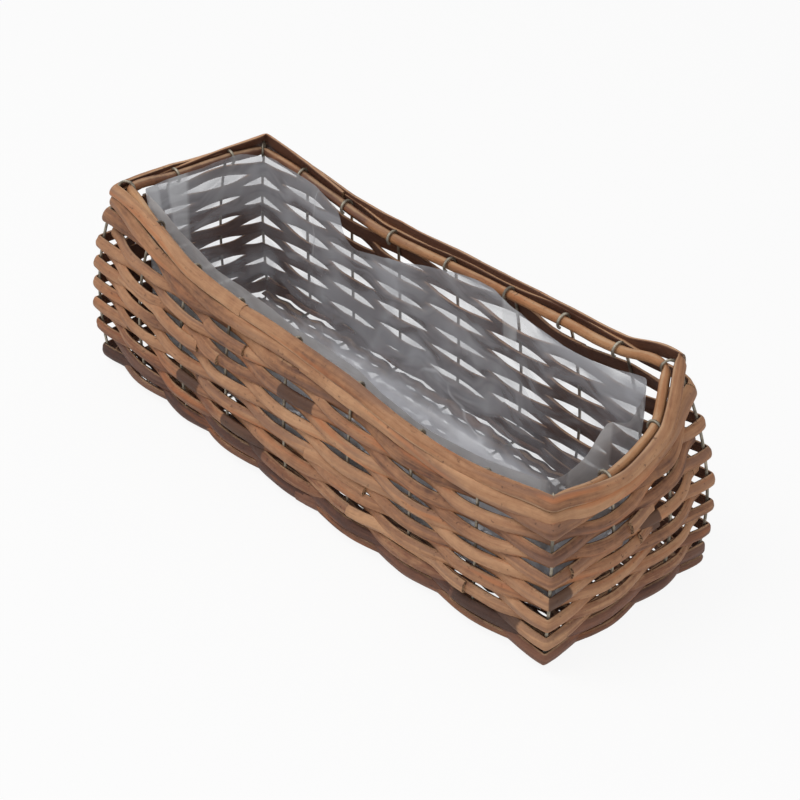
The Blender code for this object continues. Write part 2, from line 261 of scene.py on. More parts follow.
@dataclass(frozen=True)
class BarkFinish:
    """Dry willow: bark with streaks along the rod outside, and the flat split side in browns darkened
    as painted shade.
    """

    name: str
    dark: Colour = (0.130, 0.055, 0.032)
    middle: Colour = (0.400, 0.192, 0.098)
    light: Colour = (0.620, 0.345, 0.185)
    orange: Colour = (0.560, 0.190, 0.065)
    mauve: Colour = (0.235, 0.125, 0.085)
    scuffed: Colour = (0.620, 0.400, 0.235)
    patch: Colour = (0.060, 0.027, 0.018)
    # The flat split side's own browns, darkened further as painted shade on inner faces and in the
    # gaps.
    split_side_and_shade: Colour = (0.165, 0.068, 0.036)
    split_side_dark_and_shade: Colour = (0.050, 0.021, 0.014)
    cut: Colour = (0.430, 0.270, 0.150)
    patchiness: float = 0.50
    roughness: float = 0.56

    def material(self) -> bpy.types.Material:
        """Return the finish as a material that reads the rod's own attributes."""
        bench = MaterialBench(self.name)
        names = ("along", "across", "bark", "seed")
        along, across, bark, seed = (bench.attribute(name) for name in names)
        shift = seed * 7.31
        place = bench.place()

        streaks = bench.noise(bench.join(along * 14 + shift, across * 1.6, seed), 1.0, 4, 0.6)
        fibres = bench.noise(bench.join(along * 70 + shift, across * 9, seed), 1.0, 3, 0.6)
        blotches = bench.noise(bench.join(along * 48 - shift, across * 0.9, seed), 1.0, 5, 0.7)
        mottle = bench.noise(place, 190.0, 4, 0.65)
        warmth = bench.noise(bench.join(along * 11 + shift, across * 0.6, seed + 4), 1.0, 3)
        cool = bench.noise(bench.join(along * 8 - shift, across * 0.6, seed + 6), 1.0, 2)
        grime = bench.noise(place, 24.0, 4, 0.65)

        level = streaks * 0.50 + blotches * 0.40 + mottle * 0.24 + fibres * 0.12 + grime * 0.30
        level = level - 0.27 + bench.attribute("tone") * 0.24
        skin = bench.ramp(level, (0.22, self.dark), (0.46, self.middle), (0.74, self.light))
        skin = bench.blend(cool.between(0.52, 0.68) * 0.55, skin, self.mauve)
        skin = bench.blend(warmth.between(0.55, 0.72) * 0.55, skin, self.orange)

        rubbed = (abs(across) + blotches * 0.35).between(1.02, 1.20)
        skin = bench.blend(rubbed * 0.7, skin, self.scuffed)
        scars = bench.noise(bench.join(along * 260 + shift, across * 1.6, seed), 1.0, 3, 0.7)
        scar_zone = bench.noise(bench.join(along * 17 + shift, across, seed + 9), 1.0, 2)
        scarred = scars.between(0.60, 0.68) * scar_zone.between(0.46, 0.60)
        skin = bench.blend(scarred * 0.6, skin, self.patch)
        flaking = (blotches * 0.55 + mottle * 0.45).between(
            0.70 - 0.12 * self.patchiness, 0.77 - 0.10 * self.patchiness
        )
        skin = bench.blend(flaking * 0.75, skin, self.patch)
        stain = (bench.attribute("stain") + blotches * 0.9 - 0.45).between(0.30, 0.75)
        skin = bench.blend(stain * 0.85, skin, self.patch)

        split = bench.noise(bench.join(along * 11 + shift, across * 15, seed + 2), 1.0, 4, 0.6)
        # Painted shade: the split side takes the darkened browns.
        inner = bench.ramp(split + grime * 0.3 - 0.12, (0.3, self.split_side_dark_and_shade), (0.66, self.split_side_and_shade))
        colour = bench.blend(bark.between(0.25, 0.6), inner, skin)
        ends_cut = bench.attribute("cut")
        rings = bench.noise(place, 900.0, 2)
        pith = bench.ramp(rings, (0.35, self.patch), (0.6, self.cut))
        colour = bench.blend(ends_cut, colour, pith)

        relief = streaks * 0.5 + fibres * 0.3 + mottle * 0.3 - scarred * 0.4 - flaking * 0.3
        return bench.shaded(
            {
                "Base Color": colour,
                "Roughness": self.roughness + mottle * 0.30 - streaks * 0.15,
                "Normal": bench.bump(relief, 1.1 * MM, 0.8),
                "Specular IOR Level": 0.42,
            }
        )


@dataclass(frozen=True)
class WireFinish:
    """Galvanised wire that has gone dull and a little stained."""

    name: str = "weathered_wire"
    bright: Colour = (0.440, 0.400, 0.320)
    dull: Colour = (0.200, 0.175, 0.135)
    stain: Colour = (0.075, 0.055, 0.038)

    def material(self) -> bpy.types.Material:
        """Return the finish as a material on Object coordinates."""
        bench = MaterialBench(self.name)
        place = bench.place()
        bloom = bench.noise(place, 260.0, 4, 0.6)
        patches = bench.noise(place, 45.0, 3, 0.6)
        colour = bench.blend(bloom.between(0.35, 0.68), self.dull, self.bright)
        colour = bench.blend(patches.between(0.54, 0.70) * 0.8, colour, self.stain)
        return bench.shaded(
            {
                "Base Color": colour,
                "Metallic": 0.75 - patches.between(0.5, 0.7) * 0.5,
                "Roughness": 0.36 + bloom * 0.3,
                "Normal": bench.bump(bloom, 0.15 * MM, 0.5),
            }
        )


@dataclass(frozen=True)
class FilmFinish:
    """Thin clear film, crinkled, with fine creases painted paler as highlights and with painted sheen
    in its veil.
    """

    name: str = "clear_film"
    veil: Colour = (0.60, 0.605, 0.64)
    # The pale colour of painted highlights on creases, of film that lies double, and of painted light
    # on shaded walls.
    pale: Colour = (0.86, 0.87, 0.89)
    clear: Colour = (0.985, 0.988, 0.995)
    cloudy: float = 0.26
    # How much the drawn streaks of painted sheen change the veil.
    sheen_streakiness: float = 0.34
    drawn: tuple = (9.0, 14.0, 46.0)

    def material(self) -> bpy.types.Material:
        """Return a mix of bare transparency and a pale glossy veil."""
        bench = MaterialBench(self.name)
        place = bench.place()
        drift = bench.add(
            "ShaderNodeTexNoise", {}, {"Vector": place, "Scale": 16.0, "Detail": 2.0}, "Color"
        )
        moved = bench.add(
            "ShaderNodeVectorMath",
            {"operation": "MULTIPLY_ADD"},
            {0: drift, 1: (0.05, 0.05, 0.05), 2: place},
        )
        crease = self._creases(bench, moved, 11.0, 0.016)
        crease = crease * bench.noise(place, 15.0, 2).between(0.55, 0.68)
        cloud = bench.noise(moved, 15.0, 3, 0.5)
        sheen = bench.noise(moved, 34.0, 2, 0.5)
        fold = bench.attribute("fold")
        lines = (crease * 0.8 + fold * 0.22).at_most(1.0)
        drawn = bench.add("ShaderNodeVectorMath", {"operation": "MULTIPLY"}, {0: moved, 1: self.drawn})
        # Long drawn streaks of more and less veil: painted sheen along the folds.
        painted_sheen_streak = bench.noise(drawn, 1.0, 3, 0.55)
        share = bench.attribute("haze") + (cloud.between(0.38, 0.62) - 0.5) * self.cloudy
        share = share + (painted_sheen_streak.between(0.40, 0.60) - 0.5) * self.sheen_streakiness
        # Painted sheen spots and painted highlights along the creases add veil.
        share = share + sheen.between(0.52, 0.72) * 0.08 + lines * 0.26
        # The boxes of double film and painted light thicken the veil.
        share = (share + bench.attribute("doubled_and_painted_light") * 0.24).at_least(0.10).at_most(0.94)
        relief = cloud * 1.2 + painted_sheen_streak * 0.8 + sheen * 0.35 - crease * 0.4
        # Painted highlights: creases, and the boxes of double film and painted light, take the pale
        # colour.
        painted_light_and_doubled = (lines * 0.7 + bench.attribute("doubled_and_painted_light") * 0.8).at_most(1.0)
        bench.shaded(
            {
                "Base Color": bench.blend(painted_light_and_doubled, self.veil, self.pale),
                "Roughness": 0.16 + cloud * 0.16,
                "Normal": bench.bump(relief, 1.6 * MM, 0.7),
                "Specular IOR Level": 0.9,
            }
        )
        clear = bench.add("ShaderNodeBsdfTransparent", {}, {"Color": (*self.clear, 1.0)})
        return bench.mixed(share, clear, bench.principled())

    @staticmethod
    def _creases(bench: NodeBench, place: Shade, scale: float, width: float) -> Shade:
        """Return thin lines along the bounds of random cells."""
        edge = bench.add(
            "ShaderNodeTexVoronoi",
            {"feature": "DISTANCE_TO_EDGE"},
            {"Vector": place, "Scale": scale, "Randomness": 1.0},
            output="Distance",
        )
        return 1.0 - edge.between(0.0, width)


@dataclass(frozen=True)
class FloorFinish:
    """Plain pale floor that stays white to the eye and keeps a soft shadow."""

    name: str = "pale_floor"
    colour: Colour = (0.94, 0.94, 0.94)
    plain_share: float = 0.90

    def material(self) -> bpy.types.Material:
        """Return a matt floor with plain white laid over it for what is looked at."""
        bench = MaterialBench(self.name)
        bench.shaded(
            {"Base Color": (*self.colour, 1.0), "Roughness": 0.9, "Specular IOR Level": 0.1}
        )
        white = bench.add("ShaderNodeEmission", {}, {"Color": (1.0, 1.0, 1.0, 1.0)})
        return bench.mixed(seen_directly(bench) * self.plain_share, bench.principled(), white)


def seen_directly(bench: NodeBench) -> Shade:
    """Return 1 for rays of the camera, of gloss and through glass, and 0 for plain light."""
    names = ("Is Camera Ray", "Is Glossy Ray", "Is Transmission Ray")
    camera, gloss, glass = (
        bench.add("ShaderNodeLightPath", {}, {}, output=name) for name in names
    )
    return (camera + gloss + glass).at_most(1.0)


class Section(Enum):
    """How far a rod's inner side is flattened: whole rods are round, split ones half-round."""

    ROUND = 0.0
    SPLIT = 1.0


@dataclass
class Rod:
    """One length of willow or wire: its line, and what varies along it."""

    points: np.ndarray
    facing: np.ndarray
    girth: np.ndarray
    tone: np.ndarray
    stain: np.ndarray
    thin: np.ndarray
    seed: float = 0.0


@dataclass(frozen=True)
class RodStock:
    """What a piece's rods are cut from: their section and how uneven their surface is."""

    width: float
    depth: float
    section: Section = Section.SPLIT
    sides: int = 16
    unevenness: float = 0.0003


class RodTree:
    """Geometry Nodes that sweep a willow's section along lines, and dress the skin's numbers."""

    # Shares of a rod's radius: where a split rod's inner side is flat, and where bark ends.
    flat_level = 0.16
    bark_edge = 0.12

    def __init__(self) -> None:
        """Build the tree once."""
        self.tree = bpy.data.node_groups.new("rods_along_lines", "GeometryNodeTree")
        sockets = self.tree.interface
        sockets.new_socket("Lines", in_out="INPUT", socket_type="NodeSocketGeometry")
        for name in ("Width", "Depth", "Flatness", "Unevenness"):
            sockets.new_socket(name, in_out="INPUT", socket_type="NodeSocketFloat")
        sockets.new_socket("Sides", in_out="INPUT", socket_type="NodeSocketInt")
        sockets.new_socket("Finish", in_out="INPUT", socket_type="NodeSocketMaterial")
        sockets.new_socket("Rods", in_out="OUTPUT", socket_type="NodeSocketGeometry")
        self._build()

    def _build(self) -> None:
        """Fill the tree: lines, section, sweep, unevenness, finish."""
        bench = NodeBench(self.tree)
        entry = self.tree.nodes.new("NodeGroupInput")
        given = {socket.name: Shade(bench, socket) for socket in entry.outputs if socket.name}

        lines = bench.add("GeometryNodeMeshToCurve", {}, {"Mesh": given["Lines"]})
        facing = self._read(bench, "facing", "FLOAT_VECTOR")
        lines = bench.add(
            "GeometryNodeSetCurveNormal", {"mode": "FREE"}, {"Curve": lines, "Normal": facing}
        )
        length = bench.add("GeometryNodeSplineParameter", {}, {}, output="Length")
        lines = self._store(bench, lines, "along", length)

        section = self._section(bench, given)
        girth = self._read(bench, "girth", "FLOAT")
        rods = bench.add(
            "GeometryNodeCurveToMesh",
            {},
            {"Curve": lines, "Profile Curve": section, "Scale": girth, "Fill Caps": True},
        )
        rods = self._pressed_flat(bench, rods)
        rods = self._uneven(bench, rods, given["Unevenness"])
        rods = bench.add("GeometryNodeSetShadeSmooth", {}, {"Geometry": rods})
        rods = bench.add("GeometryNodeRealizeInstances", {}, {"Geometry": rods})
        rods = bench.add(
            "GeometryNodeSetMaterial", {}, {"Geometry": rods, "Material": given["Finish"]}
        )
        leave = self.tree.nodes.new("NodeGroupOutput")
        self.tree.links.new(rods.socket, leave.inputs["Rods"])

    @staticmethod
    def _read(bench: NodeBench, name: str, kind: str) -> Shade:
        """Return a named attribute of the lines."""
        return bench.add("GeometryNodeInputNamedAttribute", {"data_type": kind}, {"Name": name})

    @staticmethod
    def _store(bench: NodeBench, geometry: Shade, name: str, value: Shade) -> Shade:
        """Return the geometry with a number kept on its points."""
        values = {"Geometry": geometry, "Name": name, "Value": value}
        return bench.add("GeometryNodeStoreNamedAttribute", {"data_type": "FLOAT"}, values)

    def _section(self, bench: NodeBench, given: dict[str, Shade]) -> Shade:
        """Return the outline across a rod: its x faces outwards and its y runs across."""
        circle = bench.add("GeometryNodeCurvePrimitiveCircle", {}, {"Resolution": given["Sides"]})
        index = bench.add("GeometryNodeInputIndex", {}, {})
        angle = (index + 0.5) * math.tau / given["Sides"]
        round_side = angle.cosine()
        flat_side = round_side.at_least(-self.flat_level)
        depthwise = round_side + (flat_side - round_side) * given["Flatness"]
        inner_reach = 1.0 - given["Flatness"] * (1.0 - self.flat_level)
        middle = (1.0 - inner_reach) / 2
        outward = (depthwise - middle) / (1.0 + inner_reach) * given["Depth"]
        sideways = angle.sine() * given["Width"] / 2
        outline = bench.add(
            "GeometryNodeSetPosition",
            {},
            {"Geometry": circle, "Position": bench.join(outward, sideways, 0.0)},
        )
        outline = self._store(bench, outline, "across", angle.sine())
        outline = self._store(bench, outline, "proud", outward)
        skin = (round_side + self.bark_edge).above(0.0)
        whole = given["Flatness"].below(0.5)
        return self._store(bench, outline, "bark", skin.at_least(whole))

    def _pressed_flat(self, bench: NodeBench, rods: Shade) -> Shade:
        """Return the rods with their depth scaled by the lines' thinness."""
        facing = self._read(bench, "facing", "FLOAT_VECTOR")
        proud = self._read(bench, "proud", "FLOAT")
        thin = self._read(bench, "thin", "FLOAT")
        push = bench.scaled(facing, proud * (thin - 1.0))
        return bench.add("GeometryNodeSetPosition", {}, {"Geometry": rods, "Offset": push})

    def _uneven(self, bench: NodeBench, rods: Shade, amount: Shade) -> Shade:
        """Return the rods with long shallow ridges and hollows pressed into them."""
        names = ("along", "across", "seed")
        along, across, seed = (self._read(bench, name, "FLOAT") for name in names)
        place = bench.join(along * 34 + seed * 5.7, across * 1.5, seed)
        swell = bench.noise(place, 1.0, 3) - 0.5
        skin = bench.add("GeometryNodeInputNormal", {}, {})
        push = bench.scaled(skin, swell * amount * 4)
        return bench.add("GeometryNodeSetPosition", {}, {"Geometry": rods, "Offset": push})

    def sweep(
        self, name: str, rods: list[Rod], stock: RodStock, material: bpy.types.Material
    ) -> bpy.types.Object:
        """Make one piece from rods.

        Args:
            name: The piece's name.
            rods: The lengths in it.
            stock: Their section.
            material: Their finish.

        Returns:
            A plain mesh object at the origin.
        """
        piece = bpy.data.objects.new(name, self._lines(name, rods))
        bpy.context.scene.collection.objects.link(piece)
        modifier = piece.modifiers.new("rods", "NODES")
        modifier.node_group = self.tree
        sizes = {
            "Width": stock.width,
            "Depth": stock.depth,
            "Flatness": stock.section.value,
            "Unevenness": stock.unevenness,
            "Sides": stock.sides,
            "Finish": material,
        }
        for item in self.tree.interface.items_tree:
            if item.in_out == "INPUT" and item.name in sizes:
                modifier[item.identifier] = sizes[item.name]
        graph = bpy.context.evaluated_depsgraph_get()
        mesh = bpy.data.meshes.new_from_object(piece.evaluated_get(graph))
        piece.modifiers.clear()
        piece.data = mesh
        cut = mesh.attributes.new("cut", "FLOAT", "FACE")
        cut.data.foreach_set("value", [float(len(face.vertices) > 4) for face in mesh.polygons])
        return piece

    def _lines(self, name: str, rods: list[Rod]) -> bpy.types.Mesh:
        """Return the rods' lines as a mesh of edges, with their attributes."""
        mesh = bpy.data.meshes.new(f"{name}_lines")
        points = np.concatenate([rod.points for rod in rods])
        edges: list[tuple[int, int]] = []
        first = 0
        for rod in rods:
            count = len(rod.points)
            edges += [(first + step, first + step + 1) for step in range(count - 1)]
            first += count
        mesh.from_pydata(points.tolist(), edges, [])
        facing = np.concatenate([rod.facing for rod in rods])
        layer = mesh.attributes.new("facing", "FLOAT_VECTOR", "POINT")
        layer.data.foreach_set("vector", facing.astype(np.float32).ravel())
        for key in ("girth", "tone", "stain", "thin", "seed"):
            layer = mesh.attributes.new(key, "FLOAT", "POINT")
            values = [np.broadcast_to(getattr(rod, key), len(rod.points)) for rod in rods]
            layer.data.foreach_set("value", np.concatenate(values).astype(np.float32))
        return mesh


def soften(values: np.ndarray, spread: float) -> np.ndarray:
    """Smooth rows of values along their order.

    Args:
        values: Rows of numbers or of points.
        spread: The smoothing's standard deviation, in rows.

    Returns:
        Rows of the same shape whose two ends stay where they were.
    """
    reach = int(math.ceil(spread * 3))
    if reach < 1:
        return values
    weights = np.exp(-0.5 * (np.arange(-reach, reach + 1) / spread) ** 2)
    weights /= weights.sum()
    rows = values.reshape(len(values), -1)
    before = 2 * rows[0] - rows[reach:0:-1]
    after = 2 * rows[-1] - rows[-2 : -reach - 2 : -1]
    padded = np.concatenate([before, rows, after])
    smooth = np.stack(
        [np.convolve(padded[:, column], weights, "valid") for column in range(rows.shape[1])], 1
    )
    return smooth.reshape(values.shape)


def read_off(table: tuple, place: float) -> list[float]:
    """Return a table's columns at a place between its rows, whose first number is the place."""
    places, *columns = zip(*table)
    return [float(np.interp(place, places, column)) for column in columns]


def ripple(place: float, seed: float) -> float:
    """Return smooth random numbers from about -1 to 1 along a line, told apart by a seed."""
    return 1.6 * noise.noise(Vector((place, seed * 3.17 + 0.5, seed * 1.31)))


@dataclass(frozen=True)
class Wall:
    """The plan and the levels that every piece of the basket follows, as in the solid model."""

    foot_corners: tuple = ((-0.223, -0.074), (0.225, -0.068), (0.220, 0.072), (-0.222, 0.073))
    belly_corners: tuple = ((-0.230, -0.075), (0.230, -0.071), (0.228, 0.071), (-0.228, 0.075))
    rim_corners: tuple = ((-0.214, -0.058), (0.216, -0.060), (0.208, 0.058), (-0.207, 0.066))
    belly_height: float = 0.0470
    rim_level: float = 0.1500
    long_side_bow: float = 0.006
    end_bow: float = 0.002
    long_side_shares: tuple = (0.115, 0.226, 0.340, 0.477, 0.617, 0.743, 0.868)
    end_shares: tuple = (0.37, 0.74)
    bands: int = 5
    lowest_band: float = 0.01935
    band_pitch: float = 0.0164
    band_slacks: tuple = (0.0007, 0.0003, 0.0043, 0.0016)
    band_middle_share: float = 0.3
    foot_slacks: tuple = (0.0170, 0.0080, 0.0110, 0.0095)
    foot_middle_share: float = 0.4
    rim_pair_drop: float = 0.0098
    # Heights of the rim rod's axis at each stake, read from the photograph.
    rod_heights: tuple = (
        *(0.1440, 0.1320, 0.1205, 0.1175, 0.1175, 0.1145, 0.1085, 0.1095),
        *(0.1190, 0.1155, 0.1270),
        *(0.1540, 0.1415, 0.1360, 0.1300, 0.1245, 0.1190, 0.1230, 0.1300),
        *(0.1340, 0.1380, 0.1390),
    )
    # Darker places: (turn, height, half a length in turns, half a height).
    dark_patches: tuple = (
        *((2.20, 0.042, 0.18, 0.005), (4.22, 0.084, 0.22, 0.005), (7.20, 0.021, 0.40, 0.006)),
        *((8.15, 0.057, 0.14, 0.005), (3.30, 0.026, 0.30, 0.005), (9.60, 0.074, 0.14, 0.005)),
    )

    def stakes(self) -> list[tuple[int, float]]:
        """Return (side, share along it) for every stake in order."""
        back = tuple(1 - share for share in reversed(self.long_side_shares))
        left = tuple(1 - share for share in reversed(self.end_shares))
        sides = (self.long_side_shares, self.end_shares, back, left)
        return [(side, share) for side, shares in enumerate(sides) for share in (0.0, *shares)]

    def corner(self, corner: int, height: float) -> Vector:
        """Return a plan corner at a height, on a parabola through foot, belly and rim."""
        belly, rim = self.belly_height, self.rim_level
        foot_weight = (belly - height) * (rim - height) / (belly * rim)
        belly_weight = height * (rim - height) / (belly * (rim - belly))
        rim_weight = height * (height - belly) / (rim * (rim - belly))
        return (
            Vector(self.foot_corners[corner]) * foot_weight
            + Vector(self.belly_corners[corner]) * belly_weight
            + Vector(self.rim_corners[corner]) * rim_weight
        )

    def stake_point(self, index: int, height: float) -> Vector:
        """Return where a stake's axis is at a height."""
        stakes = self.stakes()
        side, share = stakes[index % len(stakes)]
        start = self.corner(side, height)
        end = self.corner((side + 1) % 4, height)
        along = (end - start).normalized()
        bow = (self.end_bow if side % 2 else self.long_side_bow) * 4 * share * (1 - share)
        plan = start.lerp(end, share) + Vector((along.y, -along.x)) * bow
        return Vector((plan.x, plan.y, height))

    def point(self, turn: float, height: float) -> Vector:
        """Return the wall's middle line at a turn and a height."""
        index = math.floor(turn)
        here = self.stake_point(index, height)
        return here.lerp(self.stake_point(index + 1, height), turn - index)

    def outward(self, index: int, height: float) -> tuple[Vector, float]:
        """Return the outward direction at a stake, and the mitre that keeps an offset even."""
        here = self.stake_point(index, height)
        before = (here - self.stake_point(index - 1, height)).normalized()
        after = (self.stake_point(index + 1, height) - here).normalized()
        normal = (before + after).cross(UP).normalized()
        return normal, 1 / normal.dot(after.cross(UP))

    def offset(self, turn: float, height: float) -> Vector:
        """Return the step that moves the wall's line outwards by one metre at a turn."""
        index = math.floor(turn)
        share = turn - index
        first, first_mitre = self.outward(index, height)
        last, last_mitre = self.outward(index + 1, height)
        return (first * first_mitre).lerp(last * last_mitre, share)

    def side_value(self, turn: float, corner_values: tuple, middle_share: float) -> float:
        """Return a value blended round the wall from its four corners."""
        stakes = self.stakes()
        index = math.floor(turn)
        side, share = stakes[index % len(stakes)]
        next_side, next_share = stakes[(index + 1) % len(stakes)]
        share += (turn - index) * ((next_share if next_side == side else 1) - share)
        left_over = 1 if side % 2 else 1 - (1 - middle_share) * 4 * share * (1 - share)
        first = corner_values[side]
        return (first + (corner_values[(side + 1) % 4] - first) * share) * left_over

    def rod_height(self, turn: float) -> float:
        """Return the height of the rim rod's axis."""
        count = len(self.rod_heights)
        index = math.floor(turn)
        share = turn - index
        before, here, after, beyond = (
            self.rod_heights[(index + step) % count] for step in (-1, 0, 1, 2)
        )
        slope_here = (after - before) / 2
        slope_after = (beyond - here) / 2
        square, cube = share**2, share**3
        return (
            here * (2 * cube - 3 * square + 1)
            + slope_here * (cube - 2 * square + share)
            + after * (3 * square - 2 * cube)
            + slope_after * (cube - square)
        )

    def band_height(self, turn: float, band: int) -> float:
        """Return the height of a woven pair's middle; the pair after the last is the rim's."""
        rim = self.rod_height(turn) - self.rim_pair_drop
        if band == self.bands:
            return rim
        lowest = self.lowest_band + self.side_value(turn, self.foot_slacks, self.foot_middle_share)
        return lowest + band * self.pitch(turn)

    def pitch(self, turn: float) -> float:
        """Return how far the bands are apart: less where the rim comes down on them."""
        rim = self.rod_height(turn) - self.rim_pair_drop
        lowest = self.lowest_band + self.side_value(turn, self.foot_slacks, self.foot_middle_share)
        pitch = self.band_pitch + self.side_value(turn, self.band_slacks, self.band_middle_share)
        return min(pitch, (rim - lowest) / self.bands)

    def darkness(self, turn: float, height: float) -> float:
        """Return how far a place on the wall lies in one of the darker patches, from 0 to 1."""
        most = 0.0
        for middle, level, length, rise in self.dark_patches:
            far = max(abs(turn % self.turns - middle) / length, abs(height - level) / rise)
            most = max(most, min(1.0, (1.25 - far) * 4))
        return most

    @property
    def turns(self) -> int:
        """Return how many stakes there are round the wall."""
        return len(self.rod_heights)

    @property
    def corner_turns(self) -> list[int]:
        """Return the turns of the four corners."""
        return [index for index, (_, share) in enumerate(self.stakes()) if share == 0]


@dataclass
class WallLine:
    """Traces a rod round the wall: dense samples, smoothed, then thinned out on the straights."""

    wall: Wall
    spacing: float = 0.8 * MM
    fold_spread: float = 1.5 * MM
    straight_skip: int = 3
    straight_cosine: float = 0.994
    # Half the height over which the wall's lean is taken, and where its bays are measured.
    lean_reach: float = 0.004
    bay_level: float = 0.08
    # How far the tone and the girth swing along a rod, and the tone from rod to rod.
    tone_swing: float = 0.55
    girth_swing: float = 0.10
    # The depth that a strand loses where it is folded at a corner, and over how many turns.
    corner_thinning: float = 0.42
    corner_reach: float = 0.11

    def trace(
        self,
        start: float,
        end: float,
        route: Route,
        seed: float,
        wobble: float = 0.5 * MM,
        fold_spread: float | None = None,
    ) -> Rod:
        """Return a rod's line.

        Args:
            start: The turn where it starts.
            end: The turn where it ends.
            route: Gives its course at each turn.
            seed: Tells its wobble from another's.
            wobble: How far it strays up and down.
            fold_spread: How softly it folds at a corner.

        Returns:
            The rod, with plain girth and tone.
        """
        wall = self.wall
        samples = self._turns(start, end)
        points, upward, rolls = [], [], []
        distance = 0.0
        for turn in samples:
            height, reach, rise, roll = route(turn)
            if points:
                distance += (Vector(points[-1]) - wall.point(turn, height)).length
            rise += wobble * ripple(turn * 1.7, seed)
            reach += 0.4 * wobble * ripple(turn * 2.3, seed + 40)
            low = wall.point(turn, height - self.lean_reach)
            high = wall.point(turn, height + self.lean_reach)
            up = (high - low).normalized()
            points.append(wall.point(turn, height) + wall.offset(turn, height) * reach + up * rise)
            upward.append(up)
            rolls.append(roll + 0.15 * ripple(turn * 0.9, seed + 80))
        spread = (fold_spread or self.fold_spread) / self.spacing
        line = soften(np.array(points), spread)
        tangents = np.gradient(line, axis=0)
        facing = np.cross(tangents, np.array(upward))
        facing /= np.linalg.norm(facing, axis=1)[:, None]
        tangents /= np.linalg.norm(tangents, axis=1)[:, None]
        across = np.cross(facing, tangents)
        roll = soften(np.array(rolls), spread)[:, None]
        facing = facing * np.cos(roll) + across * np.sin(roll)
        keep = self._thinned(samples, tangents)
        turns = [samples[row] for row in keep]
        swing = self.tone_swing
        cast = swing * ripple(seed * 7.7, 11.0)
        tone = np.array([cast + swing * ripple(turn * 0.8, seed + 120) for turn in turns])
        stain = np.array([wall.darkness(samples[row], line[row][2]) for row in keep])
        swell = [self.girth_swing * ripple(turn * 0.6, seed + 160) for turn in turns]
        girth = np.array([1 + value for value in swell])
        thin = np.array([self._thinness(turn) for turn in turns])
        return Rod(line[keep], facing[keep], girth, tone, stain, thin, seed)

    def _thinness(self, turn: float) -> float:
        """Return how much of a strand's depth is left, less where it is folded at a corner."""
        count = self.wall.turns
        nearest = min(
            abs((turn - corner + count / 2) % count - count / 2)
            for corner in self.wall.corner_turns
        )
        return 1.0 - self.corner_thinning * math.exp(-((nearest / self.corner_reach) ** 2))

    def _turns(self, start: float, end: float) -> list[float]:
        """Return evenly spaced turns from start to end."""
        turns: list[float] = []
        turn = start
        while turn < end:
            turns.append(turn)
            index = math.floor(turn)
            here = self.wall.stake_point(index, self.bay_level)
            bay = (self.wall.stake_point(index + 1, self.bay_level) - here).length
            turn += self.spacing / bay
        return [*turns, end]

    def _thinned(self, samples: list[float], tangents: np.ndarray) -> list[int]:
        """Return the rows to keep: all where the line folds, some where it runs straight."""
        keep = [0]
        for row in range(1, len(samples) - 1):
            bend = float(np.dot(tangents[row], tangents[keep[-1]]))
            if row - keep[-1] >= self.straight_skip or bend < self.straight_cosine:
                keep.append(row)
        return [*keep, len(samples) - 1]


